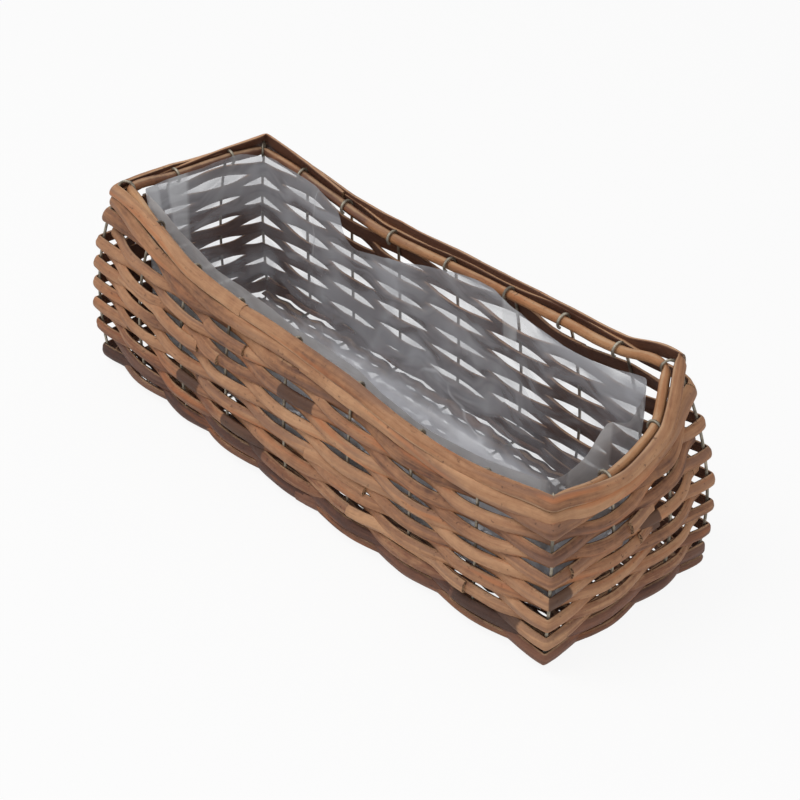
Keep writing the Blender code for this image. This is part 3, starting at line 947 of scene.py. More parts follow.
@dataclass
class WovenBands:
    """The wall's five pairs of split willow in plain weave, each row made up of a few rods."""

    wall: Wall
    tree: RodTree
    reach: float = 0.0034
    lapped: float = 0.0022
    roll: float = 0.12
    # How far a rod starts before its stake and ends past the next rod's, in turns.
    overlap: tuple = (0.3, 0.2)
    wobble: float = 0.8 * MM
    end_wobble: float = 0.6 * MM
    stock: RodStock = RodStock(0.0090, 0.0038)
    # Stakes behind which a row's next rod starts, for (band, row).
    joints: dict = field(
        default_factory=lambda: {
            (0, 0): (5, 13, 19),
            (0, 1): (6, 14),
            (1, 0): (7, 15, 21),
            (1, 1): (2, 10, 18),
            (2, 0): (9, 17),
            (2, 1): (4, 12, 20),
            (3, 0): (3, 11, 15),
            (3, 1): (8, 16),
            (4, 0): (5, 13, 21),
            (4, 1): (10, 18),
        }
    )
    # Loose ends outside the wall: (band, row, first turn, last turn, height above the row).
    ends: tuple = (
        *((3, 0, 0.55, 2.45, 0.0035), (4, 1, 2.6, 3.35, 0.0015), (3, 1, 2.1, 2.95, -0.001)),
        *((3, 0, 8.3, 9.10, 0.002), (2, 1, 9.4, 9.75, 0.003), (3, 1, 9.2, 9.65, 0.002)),
        *((0, 1, 5.1, 6.95, 0.002), (1, 0, 0.1, 0.75, 0.003), (2, 0, 4.4, 5.3, -0.002)),
    )
    wall_finish: BarkFinish = BarkFinish("tan_bark")
    low_finish: BarkFinish = BarkFinish("low_bark", middle=(0.250, 0.105, 0.054), patchiness=0.9)

    def build(self) -> list[bpy.types.Object]:
        """Return the ten weavers, each in place of its solid."""
        pieces = []
        tan, low = self.wall_finish.material(), self.low_finish.material()
        for band in range(self.wall.bands):
            for row, letter in enumerate("ab"):
                rods = self._row(band, row)
                name = f"band_{band + 1}_willow_{letter}"
                piece = self.tree.sweep(name, rods, self.stock, tan if band else low)
                slot = "wall_bark" if band else "lowest_band_bark"
                node = f"band_{band + 1}_weaver_{letter}"
                pieces.append(settle(piece, "basket", slot, node))
        return pieces

    def _row(self, band: int, row: int) -> list[Rod]:
        """Return the rods that follow one another along a row, and its loose ends.

        Args:
            band: The band, from 0 at the foot.
            row: 0 for its lower row and 1 for its upper row.

        Returns:
            The rods.
        """
        line = WallLine(self.wall)

        def route(turn: float) -> Course:
            over = math.cos(math.pi * (turn + row))
            reach = self.reach * over * (1.2 - 0.2 * over * over)
            rise = self.wall.pitch(turn) / 4 * (2 * row - 1)
            return self.wall.band_height(turn, band), reach, rise, self.roll

        joints = self.joints[band, row]
        before, after = self.overlap
        rods = []
        for number, start in enumerate(joints):
            last = number + 1 == len(joints)
            end = joints[0] + self.wall.turns if last else joints[number + 1]
            seed = 100.0 * band + 50.0 * row + number
            rods.append(line.trace(start - before, end + after, route, seed, self.wobble))
        for number, (at_band, at_row, start, end, above) in enumerate(self.ends):
            if (at_band, at_row) == (band, row):

                def loose(turn: float, above: float = above) -> Course:
                    height, reach, rise, roll = route(turn)
                    return height, max(reach, -0.001) + self.lapped, rise + above, roll

                rods.append(line.trace(start, end, loose, 700.0 + number, self.end_wobble))
        return rods


@dataclass
class Rim:
    """The rim's strands: a wide pair, and one on top that covers the hooks along the front."""

    wall: Wall
    tree: RodTree
    pair_stock: RodStock = RodStock(0.0112, 0.0042)
    top_stock: RodStock = RodStock(0.0096, 0.0040)
    # (turn, upper strand's depth below the rod, lower strand's) round the rim.
    drops: tuple = (
        *((0.0, 0.0095, 0.0235), (1.0, 0.0055, 0.0165), (2.0, 0.0040, 0.0130)),
        *((8.0, 0.0040, 0.0125), (9.0, 0.0040, 0.0120), (10.0, 0.0070, 0.0170)),
        *((11.0, 0.0130, 0.0230), (12.0, 0.0015, 0.0170), (15.0, 0.0010, 0.0160)),
        *((16.0, -0.001, 0.0140), (17.5, 0.0010, 0.0150), (18.3, 0.0015, 0.0160)),
        *((19.0, 0.0030, 0.0165), (20.3, 0.0020, 0.0165), (21.2, 0.0020, 0.0170)),
        *((22.0, 0.0095, 0.0235),),
    )
    # (turn, reach outwards, height above the rod, roll towards facing up) of the top strand.
    top_course: tuple = (
        *((0.0, 0.0036, -0.0010, 0.2), (0.6, 0.0022, 0.0030, 0.50), (1.2, 0.0012, 0.0050, 0.72)),
        *((7.0, 0.0012, 0.0050, 0.75), (8.0, 0.0018, 0.0044, 0.65), (8.6, 0.0028, 0.0020, 0.40)),
        *((9.2, 0.0046, 0.0000, 0.10), (10.0, 0.0048, 0.0015, 0.05), (11.0, 0.0040, 0.0065, 0.0)),
        *((12.0, 0.0037, 0.0033, 0.0), (13.0, 0.0037, 0.0030, 0.0), (14.0, 0.0037, 0.0033, 0.0)),
        *((15.0, 0.0037, 0.0048, 0.0), (16.0, 0.0037, 0.0078, 0.0), (17.0, 0.0037, 0.0025, 0.0)),
        *((18.0, 0.0037, 0.0022, 0.0), (19.0, 0.0037, -0.001, 0.0), (20.0, 0.0037, -0.001, 0.0)),
        *((21.0, 0.0037, 0.0032, 0.0), (22.0, 0.0036, -0.001, 0.20)),
    )
    # Where the pair's rods start, the lower row's first, and (first, last turn) of the top's.
    pair_starts: tuple = ((21.2, 28.7, 35.1), (19.4, 26.6, 33.3))
    top_spans: tuple = ((11.0, 19.05), (18.97, 25.2), (24.7, 33.03))
    # How far the upper row stands out and weaves, and how far the lower row weaves.
    upper_reach: tuple = (0.0029, 0.0010)
    lower_reach: float = 0.0034
    drift: float = 0.0016
    roll: float = 0.15
    # How far a rod starts before its mark and the last ends past the first, in turns.
    overlap: tuple = (0.35, 0.25)
    fold_spread: float = 2.2 * MM
    peak_reach: float = 0.0010
    # (turn, height) of the strand that stands up to a peak at the back left corner.
    peak: tuple = ((17.2, 0.126), (18.0, 0.135), (19.0, 0.1430), (20.0, 0.1405), (21.3, 0.138))
    finish: BarkFinish = BarkFinish("rim_bark", middle=(0.400, 0.190, 0.092), patchiness=0.3)

    def build(self) -> list[bpy.types.Object]:
        """Return the rim's three pieces, each in place of its solid."""
        material = self.finish.material()
        pieces = []
        for row, letter in enumerate("ab"):
            rods = self._pair_rods(row)
            piece = self.tree.sweep(f"rim_willow_{letter}", rods, self.pair_stock, material)
            pieces.append(settle(piece, "basket", "rim_bark", f"rim_weaver_{letter}"))
        piece = self.tree.sweep("rim_top_willow", self._top_rods(), self.top_stock, material)
        return [*pieces, settle(piece, "basket", "rim_bark", "rim_top_strand")]

    def _pair_rods(self, row: int) -> list[Rod]:
        """Return the rods of the lower row (0), in plain weave, or the upper row, outside."""
        line = WallLine(self.wall, fold_spread=self.fold_spread)

        def route(turn: float) -> Course:
            over = math.cos(math.pi * (turn + row))
            upper, lower = read_off(self.drops, turn % self.wall.turns)
            drift = self.drift * math.sin(turn * 0.9 + 2.0 * row)
            middle, swing = self.upper_reach if row else (0.0, self.lower_reach)
            drop = upper if row else lower
            return self.wall.rod_height(turn) - drop, middle + swing * over, drift, self.roll

        before, after = self.overlap
        starts = self.pair_starts[row]
        first = starts[0]
        bounds = [*starts, first + self.wall.turns + after]
        return [
            line.trace(max(first, start - before), end, route, 900.0 + 10 * row + number, 0.9 * MM)
            for number, (start, end) in enumerate(zip(bounds, bounds[1:]))
        ]

    def _top_rods(self) -> list[Rod]:
        """Return the top strand's rods and the one with the peak."""
        line = WallLine(self.wall, fold_spread=self.fold_spread)

        def route(turn: float) -> Course:
            reach, above, roll = read_off(self.top_course, turn % self.wall.turns)
            return self.wall.rod_height(turn), reach, above, roll

        def peak_route(turn: float) -> Course:
            return read_off(self.peak, turn)[0], self.peak_reach, 0.0, 0.0

        rods = [
            line.trace(start, end, route, 930.0 + number, 0.5 * MM)
            for number, (start, end) in enumerate(self.top_spans)
        ]
        start, end = self.peak[0][0], self.peak[-1][0]
        return [*rods, line.trace(start, end, peak_route, 940.0, 0.3 * MM)]


def settle(piece: bpy.types.Object, body: str, slot: str, *nodes: str) -> bpy.types.Object:
    """Fix a finished piece to a body, in place of any solids named.

    Args:
        piece: The finished piece.
        body: The body that it rides on.
        slot: The record's material slot; not used.
        nodes: The solids that it stands for.

    Returns:
        The piece.
    """
    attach(piece, body)
    if nodes:
        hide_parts(*nodes)
    LOG.info("%s: %d faces", piece.name, len(piece.data.polygons))
    return piece


@dataclass
class Rods:
    """The round rim rod under the hooks, and the thin dark foot rod with strands over it."""

    wall: Wall
    tree: RodTree
    rim_stock: RodStock = RodStock(0.0068, 0.0068, Section.ROUND, 14)
    rim_reach: float = 0.0050
    foot_stock: RodStock = RodStock(0.0050, 0.0050, Section.ROUND, 10)
    foot_reach: float = 0.0036
    foot_height: float = 0.0085
    # The stakes at which the two rods' ends meet, and half the gap in turns.
    rim_join: float = 1.0
    foot_join: float = 2.0
    join_gap: float = 0.03
    # The turns between which the rim rod is darkened as painted shade under the peak strand, and by
    # how much.
    painted_shade_span: tuple = (16.7, 22.2)
    painted_shade_depth: float = 1.6
    filler_reach: float = 0.0032
    # How far up the room between foot rod and lowest band each row of fillers lies.
    filler_shares: tuple = (0.10, 0.58)
    filler_stock: RodStock = RodStock(0.0096, 0.0036)
    # (first turn, last turn) of the split strands over the foot rod, the lower row's first.
    filler_spans: tuple = (
        ((4.2, 11.7), (11.4, 18.6), (18.3, 26.5)),
        ((6.7, 12.6), (12.3, 19.4), (19.1, 29.0)),
    )
    filler_finish: BarkFinish = BarkFinish(
        "foot_split_bark",
        dark=(0.035, 0.016, 0.011),
        middle=(0.095, 0.038, 0.024),
        light=(0.230, 0.100, 0.058),
        patchiness=0.9,
    )
    rim_finish: BarkFinish = BarkFinish(
        "rim_rod_bark", middle=(0.420, 0.180, 0.075), light=(0.58, 0.31, 0.15), patchiness=0.4
    )
    foot_finish: BarkFinish = BarkFinish(
        "foot_bark",
        dark=(0.060, 0.028, 0.018),
        middle=(0.185, 0.080, 0.044),
        light=(0.340, 0.160, 0.085),
        patchiness=0.9,
    )

    def build(self) -> list[bpy.types.Object]:
        """Return the two rods in place of their solids, and the strands over the foot rod."""
        line = WallLine(self.wall)
        rim, foot, fillers = self._rim(line), self._foot(line), self._fillers(line)
        sweep = self.tree.sweep
        rim_piece = sweep("rim_willow_rod", [rim], self.rim_stock, self.rim_finish.material())
        settle(rim_piece, "basket", "rim_rod_bark", "rim_rod")
        foot_piece = sweep("foot_willow_rod", [foot], self.foot_stock, self.foot_finish.material())
        settle(foot_piece, "basket", "foot_bark", "foot_rod")
        material = self.filler_finish.material()
        filler_piece = sweep("foot_willow_fillers", fillers, self.filler_stock, material)
        return [rim_piece, foot_piece, settle(filler_piece, "basket", "foot_bark")]

    def _rim(self, line: WallLine) -> Rod:
        """Return the rim rod, darkened as painted shade where it runs under the peak."""

        def route(turn: float) -> Course:
            return self.wall.rod_height(turn), -self.rim_reach, 0.0, 0.0

        start, end = self.rim_join + self.join_gap, self.rim_join + self.wall.turns - self.join_gap
        rod = line.trace(start, end, route, 301.0, 0.5 * MM, 3.0 * MM)
        places = np.linspace(start, end, len(rod.tone))
        first, last = self.painted_shade_span
        within = np.clip(np.minimum(places - first, last - places) * 4, 0.0, 1.0)
        # Painted shade: the tone drops along the span under the peak.
        rod.tone -= self.painted_shade_depth * within
        return rod

    def _foot(self, line: WallLine) -> Rod:
        """Return the foot rod, in front of every second stake."""

        def route(turn: float) -> Course:
            reach = -self.foot_reach * math.cos(math.pi * turn)
            return self.foot_height, reach, 0.0, 0.0

        start = self.foot_join + self.join_gap
        end = self.foot_join + self.wall.turns - self.join_gap
        return line.trace(start, end, route, 302.0, 0.2 * MM)

    def _fillers(self, line: WallLine) -> list[Rod]:
        """Return the split strands between the foot rod and the lowest band."""
        rods = []
        for row, spans in enumerate(self.filler_spans):

            def route(turn: float, row: int = row) -> Course:
                lowest = self.wall.band_height(turn, 0) - self.wall.pitch(turn) / 4
                room = lowest - self.foot_height
                height = self.foot_height + room * self.filler_shares[row]
                return height, self.filler_reach * math.cos(math.pi * (turn + row)), 0.0, 0.10

            rods += [
                line.trace(start, end, route, 310.0 + 10 * row + number, 0.6 * MM)
                for number, (start, end) in enumerate(spans)
            ]
        return rods


@dataclass
class Stakes:
    """Eleven wires: nine cross under the base from front to back and two run lengthwise."""

    wall: Wall
    tree: RodTree
    radius: float = 0.00105
    hook_radius: float = 0.0050
    bend_radius: float = 0.00415
    cross_level: float = 0.00435
    long_level: float = 0.00195
    corner_inset: float = 0.012
    corner_hook_share: float = 0.3
    foot_rod_height: float = 0.0085
    spacing: float = 0.004
    # How many half turns the hook bends through, and the steps of the hook and of the foot.
    hook_bend: float = 1.30
    hook_steps: int = 13
    bend_steps: int = 6
    finish: WireFinish = WireFinish()

    def build(self) -> list[bpy.types.Object]:
        """Return the wires, each in place of its solid."""
        _, front_right, back_right, back_left = self.wall.corner_turns
        material = self.finish.material()
        wires = [
            ("cross", number + 1, number, back_left - number, self.cross_level, 400 + number)
            for number in range(front_right + 1)
        ]
        wires += [
            ("long", n, front_right + n, self.wall.turns - n, self.long_level, 420 + n)
            for n in range(1, back_right - front_right)
        ]
        pieces = []
        for kind, number, first, last, level, seed in wires:
            axis = self._leg(first, level) + self._leg(last, level)[::-1]
            piece = self._wire(f"{kind}_wire_{number}", axis, seed, material)
            pieces.append(settle(piece, "basket", "stake_wire", f"{kind}_stake_{number}"))
        return pieces

    def _leg(self, index: int, floor_level: float) -> list[Vector]:
        """Return a wire's axis from its hook's tip down a wall to the base."""
        wall = self.wall
        top = wall.rod_height(index)
        normal, mitre = wall.outward(index, top)
        radius = self.hook_radius * (1 + self.corner_hook_share * (mitre - 1))
        centre = wall.stake_point(index, top) - normal * radius
        points = []
        for step in range(self.hook_steps + 1):
            angle = math.pi * (self.hook_bend - self.hook_bend * step / self.hook_steps)
            points.append(centre + (normal * math.cos(angle) + UP * math.sin(angle)) * radius)
        bottom = self.foot_rod_height + self.spacing
        steps = max(4, int((top - bottom) / self.spacing))
        for step in range(1, steps):
            points.append(wall.stake_point(index, top + (bottom - top) * step / steps))
        normal, mitre = wall.outward(index, self.foot_rod_height)
        radius = self.bend_radius * mitre
        start = wall.stake_point(index, floor_level + radius)
        for step in range(self.bend_steps + 1):
            angle = math.pi / 2 * step / self.bend_steps
            inward = normal * radius * (1 - math.cos(angle))
            points.append(start - inward - UP * radius * math.sin(angle))
        if index in wall.corner_turns:
            foot = wall.stake_point(index, floor_level)
            points.append(foot - normal * mitre * self.corner_inset)
        return points

    def _wire(
        self, name: str, points: list[Vector], seed: float, material: bpy.types.Material
    ) -> bpy.types.Object:
        """Return one wire swept along its axis."""
        line = np.array(points)
        across = np.cross(line[-1] - line[0], (0.0, 0.0, 1.0))
        across = np.tile(across / np.linalg.norm(across), (len(line), 1))
        flat = np.zeros(len(line))
        rod = Rod(line, across, flat + 1, flat, flat, flat + 1, seed)
        stock = RodStock(2 * self.radius, 2 * self.radius, Section.ROUND, 10, 0.00003)
        return self.tree.sweep(name, [rod], stock, material)


@dataclass
class Base:
    """Flat strands laid lengthwise through the wires, swaying so that round gaps are left."""

    wall: Wall
    tree: RodTree
    depth: float = 0.0028
    crest: float = 0.0055
    step_length: float = 0.0085
    pitch: float = 0.0090
    filled_share: float = 0.92
    gap_pitch: float = 0.0185
    sway: float = 0.0008
    level: float = 0.004
    wall_margin: float = 0.0030
    wire_margin: float = 0.0008
    end_margin: float = 0.007
    clearance: float = 0.0001
    samples: int = 300
    # How many solids stand for each of the three zones between the lengthwise wires.
    solids: tuple = (3, 4, 2)
    finish: BarkFinish = BarkFinish(
        "base_bark",
        dark=(0.040, 0.020, 0.014),
        middle=(0.110, 0.050, 0.030),
        light=(0.240, 0.120, 0.070),
        patchiness=0.8,
    )

    def build(self) -> list[bpy.types.Object]:
        """Return the strands, each piece in place of one solid."""
        material = self.finish.material()
        pieces = []
        first = 1
        for zone, solids in enumerate(self.solids):
            bounds = self._bounds(zone)
            room = min(back - front for front, back in bounds)
            count = round(room / self.pitch)
            stock = RodStock(self.depth, room / count * self.filled_share, Section.ROUND, 12, 0.0001)
            rods = [
                self._strand((place + 0.5) / count, bounds, 10 * zone + place, room)
                for place in range(count)
            ]
            for node in range(solids):
                share = rods[node * count // solids : (node + 1) * count // solids]
                number = first + node
                piece = self.tree.sweep(f"base_willow_{number}", share, stock, material)
                pieces.append(settle(piece, "basket", "base_bark", f"base_strand_{number}"))
            first += solids
        return pieces

    def _bounds(self, zone: int) -> list[tuple[float, float]]:
        """Return a zone's (front, back) y at the left end and at the right end."""
        wall = self.wall
        front_left, front_right = wall.corner_turns[:2]
        before = self.wall_margin if zone == 0 else self.wire_margin
        after = self.wall_margin if zone == len(self.solids) - 1 else self.wire_margin
        return [
            (
                wall.stake_point(start + step * zone, self.level).y + before,
                wall.stake_point(start + step * (zone + 1), self.level).y - after,
            )
            for start, step in ((front_left, -1), (front_right, 1))
        ]

    def _strand(
        self, share: float, bounds: list[tuple[float, float]], number: int, room: float
    ) -> Rod:
        """Return one strand over one wire and under the next, wider where its zone is."""
        wall = self.wall
        left, right = (front + (back - front) * share for front, back in bounds)
        start = wall.stake_point(0, self.level).x + self.end_margin
        end = wall.stake_point(wall.corner_turns[1], self.level).x - self.end_margin
        xs = np.linspace(start, end, self.samples)
        along = (xs - start) / (end - start)
        # The outer zones bow out with the long walls.
        zone = number // 10
        bow = wall.long_side_bow * 4 * along * (1 - along) * (zone != 1)
        ys = left + (right - left) * along + bow * (share if zone else share - 1)
        crossings = []
        for index in range(wall.corner_turns[1] + 1):
            front = wall.stake_point(index, self.level)
            back = wall.stake_point(wall.corner_turns[3] - index, self.level)
            inward = (ys[len(ys) // 2] - front.y) / (back.y - front.y)
            crossings.append(front.x + (back.x - front.x) * inward)
        heights = np.full(len(xs), self.depth / 2 + self.clearance + self.crest / 2)
        for index, crossing in enumerate(crossings):
            side = 1 if (index + number) % 2 else -1
            heights += side * self.crest / 2 * np.exp(-(((xs - crossing) / self.step_length) ** 2))
        sway = self.sway * np.cos(math.tau * xs / self.gap_pitch + math.pi * number)
        sway += np.array([0.3 * MM * ripple(x * 30, 500 + number) for x in xs])
        points = np.stack([xs, ys + sway, heights], 1)
        facing = np.tile((0.0, 1.0, 0.0), (len(xs), 1))
        girth = np.array([1.0 + 0.05 * ripple(x * 50, 560 + number) for x in xs])
        tone = np.array([ripple(x * 14, 520 + number) for x in xs])
        rooms = [back - front for front, back in bounds]
        spread = (np.interp(xs, (start, end), rooms) + bow) / room
        return Rod(points, facing, girth, tone, np.zeros(len(xs)), spread, 540 + number)


@dataclass
class Liner:
    """The loose tray of clear film: a crumpled sheet that stands on the base."""

    wall: Wall
    inset: float = 0.0133
    # The film lies closer to the wall about one corner.
    snug_turn: float = 22.0
    snugness: float = 0.0055
    snug_reach: float = 0.8
    taper: float = 0.0015
    floor: float = 0.0094
    corner_round: float = 0.014
    bottom_round: float = 0.010
    spacing: float = 0.0028
    wall_rows: int = 44
    floor_rows: int = 17
    spine_half_length: float = 0.150
    spine_share: float = 0.78
    spine_y: float = 0.001
    # (facets to the metre, depth) of the coarse and the fine crumpling, less on the floor.
    facets: tuple = ((10.0, 0.0060), (23.0, 0.0016))
    facet_origin: tuple = (7.1, 3.3, 1.7)
    crease_width: float = 0.06
    floor_share: float = 0.55
    upright_share: float = 0.55
    floor_depth: float = 0.002
    # (turn, height) of the film's top edge where the photograph shows it.
    edge: tuple = (
        *((8.0, 0.112), (8.6, 0.110), (9.2, 0.114), (9.6, 0.131), (10.1, 0.121), (10.5, 0.132)),
        *((11.0, 0.146), (11.33, 0.142), (11.66, 0.138), (12.0, 0.135), (12.5, 0.132)),
        *((13.3, 0.132), (13.62, 0.134), (13.97, 0.141), (14.3, 0.138), (14.63, 0.134)),
        *((14.96, 0.129), (15.3, 0.123), (15.62, 0.117), (15.95, 0.111), (16.6, 0.107)),
        *((16.86, 0.113), (16.92, 0.130), (17.3, 0.135), (17.6, 0.138), (18.0, 0.141)),
        *((18.6, 0.143), (19.0, 0.140), (19.3, 0.142), (19.9, 0.146), (20.5, 0.148)),
        *((21.1, 0.146), (21.7, 0.143), (22.0, 0.144), (22.4, 0.140), (23.0, 0.128)),
        *((24.0, 0.117), (26.0, 0.112)),
        *((28.0, 0.100), (30.0, 0.112)),
    )
    # Boxes (lowest, highest corner) in which the film lies double, and in which painted light makes
    # its shaded walls paler, as along the front.
    doubled_and_painted_light_boxes: tuple = (
        ((-0.210, -0.090, 0.020), (0.200, -0.036, 0.150)),
        ((-0.215, -0.027, 0.060), (-0.190, -0.013, 0.150)),
        ((0.180, -0.030, 0.060), (0.215, 0.012, 0.150)),
        ((0.060, 0.040, 0.105), (0.075, 0.060, 0.150)),
    )
    floor_haze: float = 0.82
    wall_haze: float = 0.53
    edge_haze: float = 0.22
    edge_level: float = 0.137
    edge_band: float = 0.030
    # The height over which the floor's haze turns into the walls'.
    haze_rise: float = 0.012
    # (x, y, z, radius, change) of places where the film clings to the willow or is cloudier.
    haze_spots: tuple = (
        *((-0.200, 0.045, 0.070, 0.045, -0.34), (0.125, 0.052, 0.090, 0.035, -0.30)),
        *((-0.090, 0.052, 0.050, 0.040, -0.26), (0.020, 0.052, 0.100, 0.030, -0.22)),
        *((0.045, 0.052, 0.060, 0.030, -0.20), (-0.125, 0.052, 0.110, 0.025, 0.18)),
        *((0.165, 0.050, 0.060, 0.040, -0.18), (0.195, 0.000, 0.060, 0.040, 0.20)),
    )
    finish: FilmFinish = FilmFinish()

    def build(self, carriers: list[bpy.types.Object], tray: bpy.types.Object) -> bpy.types.Object:
        """Return the film, in place of its solid.

        Args:
            carriers: The strands that it lies on; not used.
            tray: The CAD tray, a thin solid with one face on each side of the film; not used.

        Returns:
            The sheet.
        """
        outline = self._outline()
        rows = self._rows(outline)
        piece = self._mesh(rows)
        self._crumple(piece)
        piece.data.materials.append(self.finish.material())
        settle(piece, "liner", "clear_film", "film_liner")
        return piece

    def _outline(self) -> list[tuple[Vector, float]]:
        """Return (plan point, turn) round the film, evenly spaced, with rounded corners."""
        dense: list[Vector] = []
        turns: list[float] = []
        steps = 40
        for index in range(self.wall.turns):
            for step in range(steps):
                turn = index + step / steps
                here = self.wall.point(turn, self.wall.rim_level)
                half = self.wall.turns / 2
                near = abs((turn - self.snug_turn + half) % self.wall.turns - half)
                inset = self.inset - self.snugness * math.exp(-((near / self.snug_reach) ** 2))
                step_in = self.wall.offset(turn, self.wall.rim_level) * inset
                dense.append(here - step_in)
                turns.append(turn)
        points = np.array([(point.x, point.y) for point in dense])
        lengths = np.linalg.norm(np.diff(points, axis=0, append=points[:1]), axis=1)
        total = lengths.sum()
        count = int(total / self.spacing)
        marks = np.concatenate([[0.0], np.cumsum(lengths)])
        loop = np.concatenate([points, points[:1]])
        loop_turns = np.array([*turns, float(self.wall.turns)])
        places = np.linspace(0.0, total, count, endpoint=False)
        even = np.stack([np.interp(places, marks, loop[:, axis]) for axis in (0, 1)], 1)
        even_turns = np.interp(places, marks, loop_turns)
        spread = self.corner_round / self.spacing / 2.6
        wrap = int(spread * 4)
        padded = np.concatenate([even[-wrap:], even, even[:wrap]])
        even = soften(padded, spread)[wrap:-wrap]
        return [(Vector((x, y, 0.0)), float(t)) for (x, y), t in zip(even, even_turns)]

    def _edge_height(self, turn: float) -> float:
        """Return the height of the film's top edge at a turn."""
        wrapped = turn if turn >= self.edge[0][0] else turn + self.wall.turns
        return read_off(self.edge, wrapped)[0]

    def _rows(self, outline: list[tuple[Vector, float]]) -> list[list[Vector]]:
        """Return rings of points, from the top edge down the wall and in over the floor."""
        rows: list[list[Vector]] = []
        tops = soften(np.array([self._edge_height(turn) for _, turn in outline]), 0.8)
        for row in range(self.wall_rows + 1):
            share = 1 - row / self.wall_rows
            ring = []
            for (plan, turn), top in zip(outline, tops):
                height = self.floor + (top - self.floor) * share
                lean = self.taper * (1 - share)
                over = max(0.0, 1 - (height - self.floor) / self.bottom_round)
                tuck = self.bottom_round * (1 - math.sqrt(max(0.0, 1 - over**2)))
                spine = self._spine(plan)
                inward = (spine - plan).normalized()
                point = plan + inward * (lean + tuck)
                ring.append(Vector((point.x, point.y, height)))
            rows.append(ring)
        last = rows[-1]
        for row in range(1, self.floor_rows + 1):
            share = row / self.floor_rows
            rows.append(
                [point.lerp(self._spine(point, self.floor), share) for point in last]
            )
        return rows

    def _spine(self, point: Vector, height: float = 0.0) -> Vector:
        """Return the nearest place on the line along the middle of the floor."""
        half = self.spine_half_length
        x = max(-half, min(half, point.x * self.spine_share))
        return Vector((x, self.spine_y, height))

    def _mesh(self, rows: list[list[Vector]]) -> bpy.types.Object:
        """Return the rings as one open sheet, whose last ring closes on the spine."""
        count = len(rows[0])
        points = [point for ring in rows for point in ring]
        faces = []
        for start in range(0, count * (len(rows) - 1), count):
            for column in range(count):
                here, beside = start + column, start + (column + 1) % count
                faces.append((here, beside, beside + count, here + count))
        mesh = bpy.data.meshes.new("film_tray")
        mesh.from_pydata(points, [], faces)
        work = bmesh.new()
        work.from_mesh(mesh)
        bmesh.ops.remove_doubles(work, verts=work.verts, dist=0.4 * MM)
        bmesh.ops.recalc_face_normals(work, faces=work.faces)
        for face in work.faces:
            face.smooth = True
        work.to_mesh(mesh)
        work.free()
        piece = bpy.data.objects.new("film_tray", mesh)
        bpy.context.scene.collection.objects.link(piece)
        return piece

    def _crumple(self, piece: bpy.types.Object) -> None:
        """Push the film about in facets that meet in creases, and only inwards or up."""
        mesh = piece.data
        names = ("doubled_and_painted_light", "fold", "haze")
        doubled_and_painted_light, folds, haze = (mesh.attributes.new(name, "FLOAT", "POINT") for name in names)
        moved = []
        for vertex in mesh.vertices:
            place = vertex.co.copy()
            on_floor = place.z < self.floor + self.floor_depth
            spine = self._spine(place)
            inward = Vector((spine.x - place.x, spine.y - place.y, 0.0))
            inward = UP if on_floor or inward.length < 1e-6 else inward.normalized()
            upright = 1.0 if on_floor else self.upright_share
            stretched = Vector((place.x, place.y, place.z * upright))
            depth = 0.0
            crease = 0.0
            for scale, amount in self.facets:
                distances, _ = noise.voronoi(stretched * scale + Vector(self.facet_origin))
                facet = distances[1] - distances[0]
                depth += amount * min(1.0, facet * 1.5)
                weight = amount / self.facets[0][1]
                crease = max(crease, (1.0 - facet / self.crease_width) * weight)
            if on_floor:
                depth *= self.floor_share
            moved.append(place + inward * depth)
            folds.data[vertex.index].value = max(0.0, crease)
            # Painted light and double film: the boxes' paler veil, kept off the floor.
            doubled_and_painted_light.data[vertex.index].value = 0.0 if on_floor else self._doubled_and_painted_light(place)
            haze.data[vertex.index].value = self._haze(place)
        for vertex, place in zip(mesh.vertices, moved):
            vertex.co = place

    def _haze(self, place: Vector) -> float:
        """Return how cloudy the film is at a place: most on the floor, then near its edge."""
        on_wall = min(1.0, max(0.0, (place.z - self.floor) / self.haze_rise))
        near_edge = max(0.0, 1 - abs(self.edge_level - place.z) / self.edge_band)
        haze = self.floor_haze + (self.wall_haze - self.floor_haze) * on_wall
        haze += self.edge_haze * near_edge
        for x, y, z, radius, change in self.haze_spots:
            far = (place - Vector((x, y, z))).length / radius
            haze += change * math.exp(-(far**2))
        return haze

    def _doubled_and_painted_light(self, place: Vector) -> float:
        """Return 1 in the boxes where the film lies double and where painted light makes its walls
        paler, and 0 elsewhere.
        """
        inside = (
            all(a <= b <= c for a, b, c in zip(low, place, high))
            for low, high in self.doubled_and_painted_light_boxes
        )
        return float(any(inside))


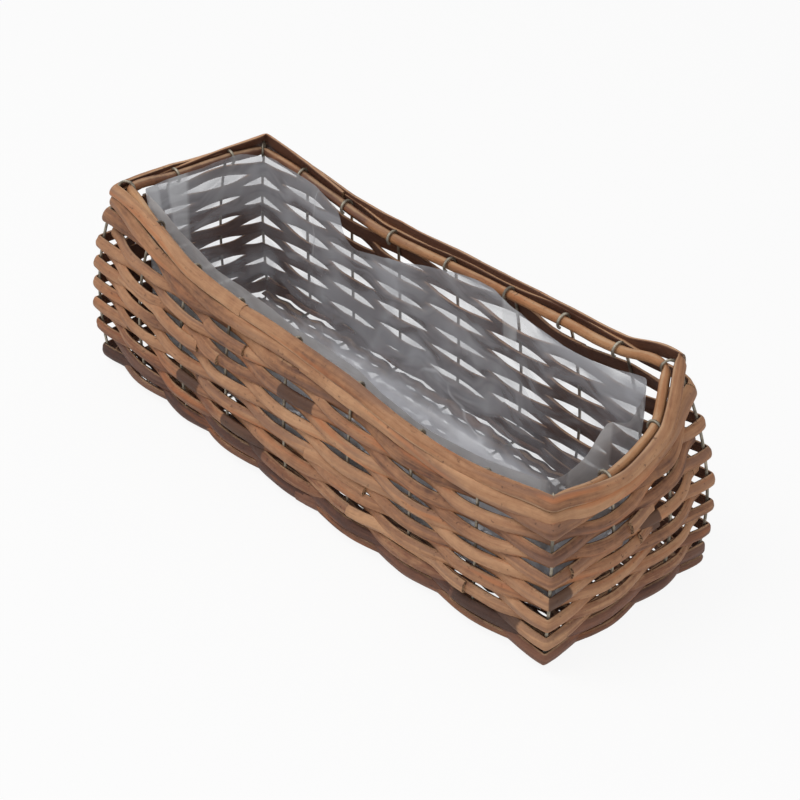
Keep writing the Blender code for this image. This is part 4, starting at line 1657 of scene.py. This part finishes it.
@dataclass
class Studio:
    """Plain floor, soft light and the photograph's camera."""

    camera_place: tuple = (0.8443, -0.7349, 0.8303)
    camera_aim: tuple = (0.0491, -0.0290, 0.0871)
    camera_roll: float = math.radians(0.29)
    focal_length: float = 90.05
    sensor_width: float = 36.0
    world_strength: float = 0.42
    # (name, place, size, power) of the square lamps, and what they face.
    lamps: tuple = (("key", (-0.5, -0.9, 2.0), 1.1, 17.0), ("fill", (1.5, -0.7, 1.1), 1.3, 4.0))
    lamp_aim: tuple = (0.0, 0.0, 0.07)
    floor_half: float = 6.0

    def build(self) -> None:
        """Add the floor, the world, the lamps and the camera."""
        self._floor()
        self._world()
        for lamp in self.lamps:
            self._lamp(*lamp)
        self._camera()
        bpy.context.scene.view_settings.view_transform = "Standard"

    def _floor(self) -> None:
        """Lay a wide floor and mark it as stage."""
        mesh = bpy.data.meshes.new("floor")
        half = self.floor_half
        corners = ((-half, -half), (half, -half), (half, half), (-half, half))
        mesh.from_pydata([(x, y, -0.2 * MM) for x, y in corners], [], [(0, 1, 2, 3)])
        mesh.materials.append(FloorFinish().material())
        floor = bpy.data.objects.new("floor", mesh)
        bpy.context.scene.collection.objects.link(floor)

    def _world(self) -> None:
        """Light everything evenly, and show plain white behind."""
        world = bpy.data.worlds.new("studio")
        world.use_nodes = True
        bpy.context.scene.world = world
        bench = NodeBench(world.node_tree)
        seen = seen_directly(bench)
        strength = self.world_strength + seen * (1.0 - self.world_strength)
        background = world.node_tree.nodes["Background"]
        white = {"Color": (1.0, 1.0, 1.0, 1.0), "Strength": strength}
        feed(bench, background, white)

    def _lamp(self, name: str, place: Place, size: float, power: float) -> None:
        """Add one square lamp that faces the basket."""
        data = bpy.data.lights.new(name, "AREA")
        data.energy = power
        data.size = size
        lamp = bpy.data.objects.new(name, data)
        lamp.matrix_world = facing_matrix(Vector(place), Vector(self.lamp_aim))
        bpy.context.scene.collection.objects.link(lamp)

    def _camera(self) -> None:
        """Add the camera at the photograph's viewpoint."""
        data = bpy.data.cameras.new("view")
        data.lens = self.focal_length
        data.sensor_width = self.sensor_width
        data.sensor_fit = "HORIZONTAL"
        data.clip_start = 0.05
        camera = bpy.data.objects.new("view", data)
        place = facing_matrix(Vector(self.camera_place), Vector(self.camera_aim))
        camera.matrix_world = place @ Matrix.Rotation(self.camera_roll, 4, "Z")
        bpy.context.scene.collection.objects.link(camera)
        bpy.context.scene.camera = camera


def facing_matrix(place: Vector, aim: Vector) -> Matrix:
    """Return the matrix of a camera or lamp at a place that looks at an aim."""
    turn = (aim - place).to_track_quat("-Z", "Y")
    return Matrix.Translation(place) @ turn.to_matrix().to_4x4()


def main() -> None:
    """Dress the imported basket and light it."""
    logging.basicConfig(level=logging.INFO, format="%(name)s: %(message)s")
    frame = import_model()
    wall = Wall()
    tree = RodTree()
    WovenBands(wall, tree).build()
    Rim(wall, tree).build()
    Rods(wall, tree).build()
    Stakes(wall, tree).build()
    strands = Base(wall, tree).build()
    Liner(wall).build(strands, frame["nodes"]["film_liner"])
    Studio().build()


if __name__ == "__main__":
    main()
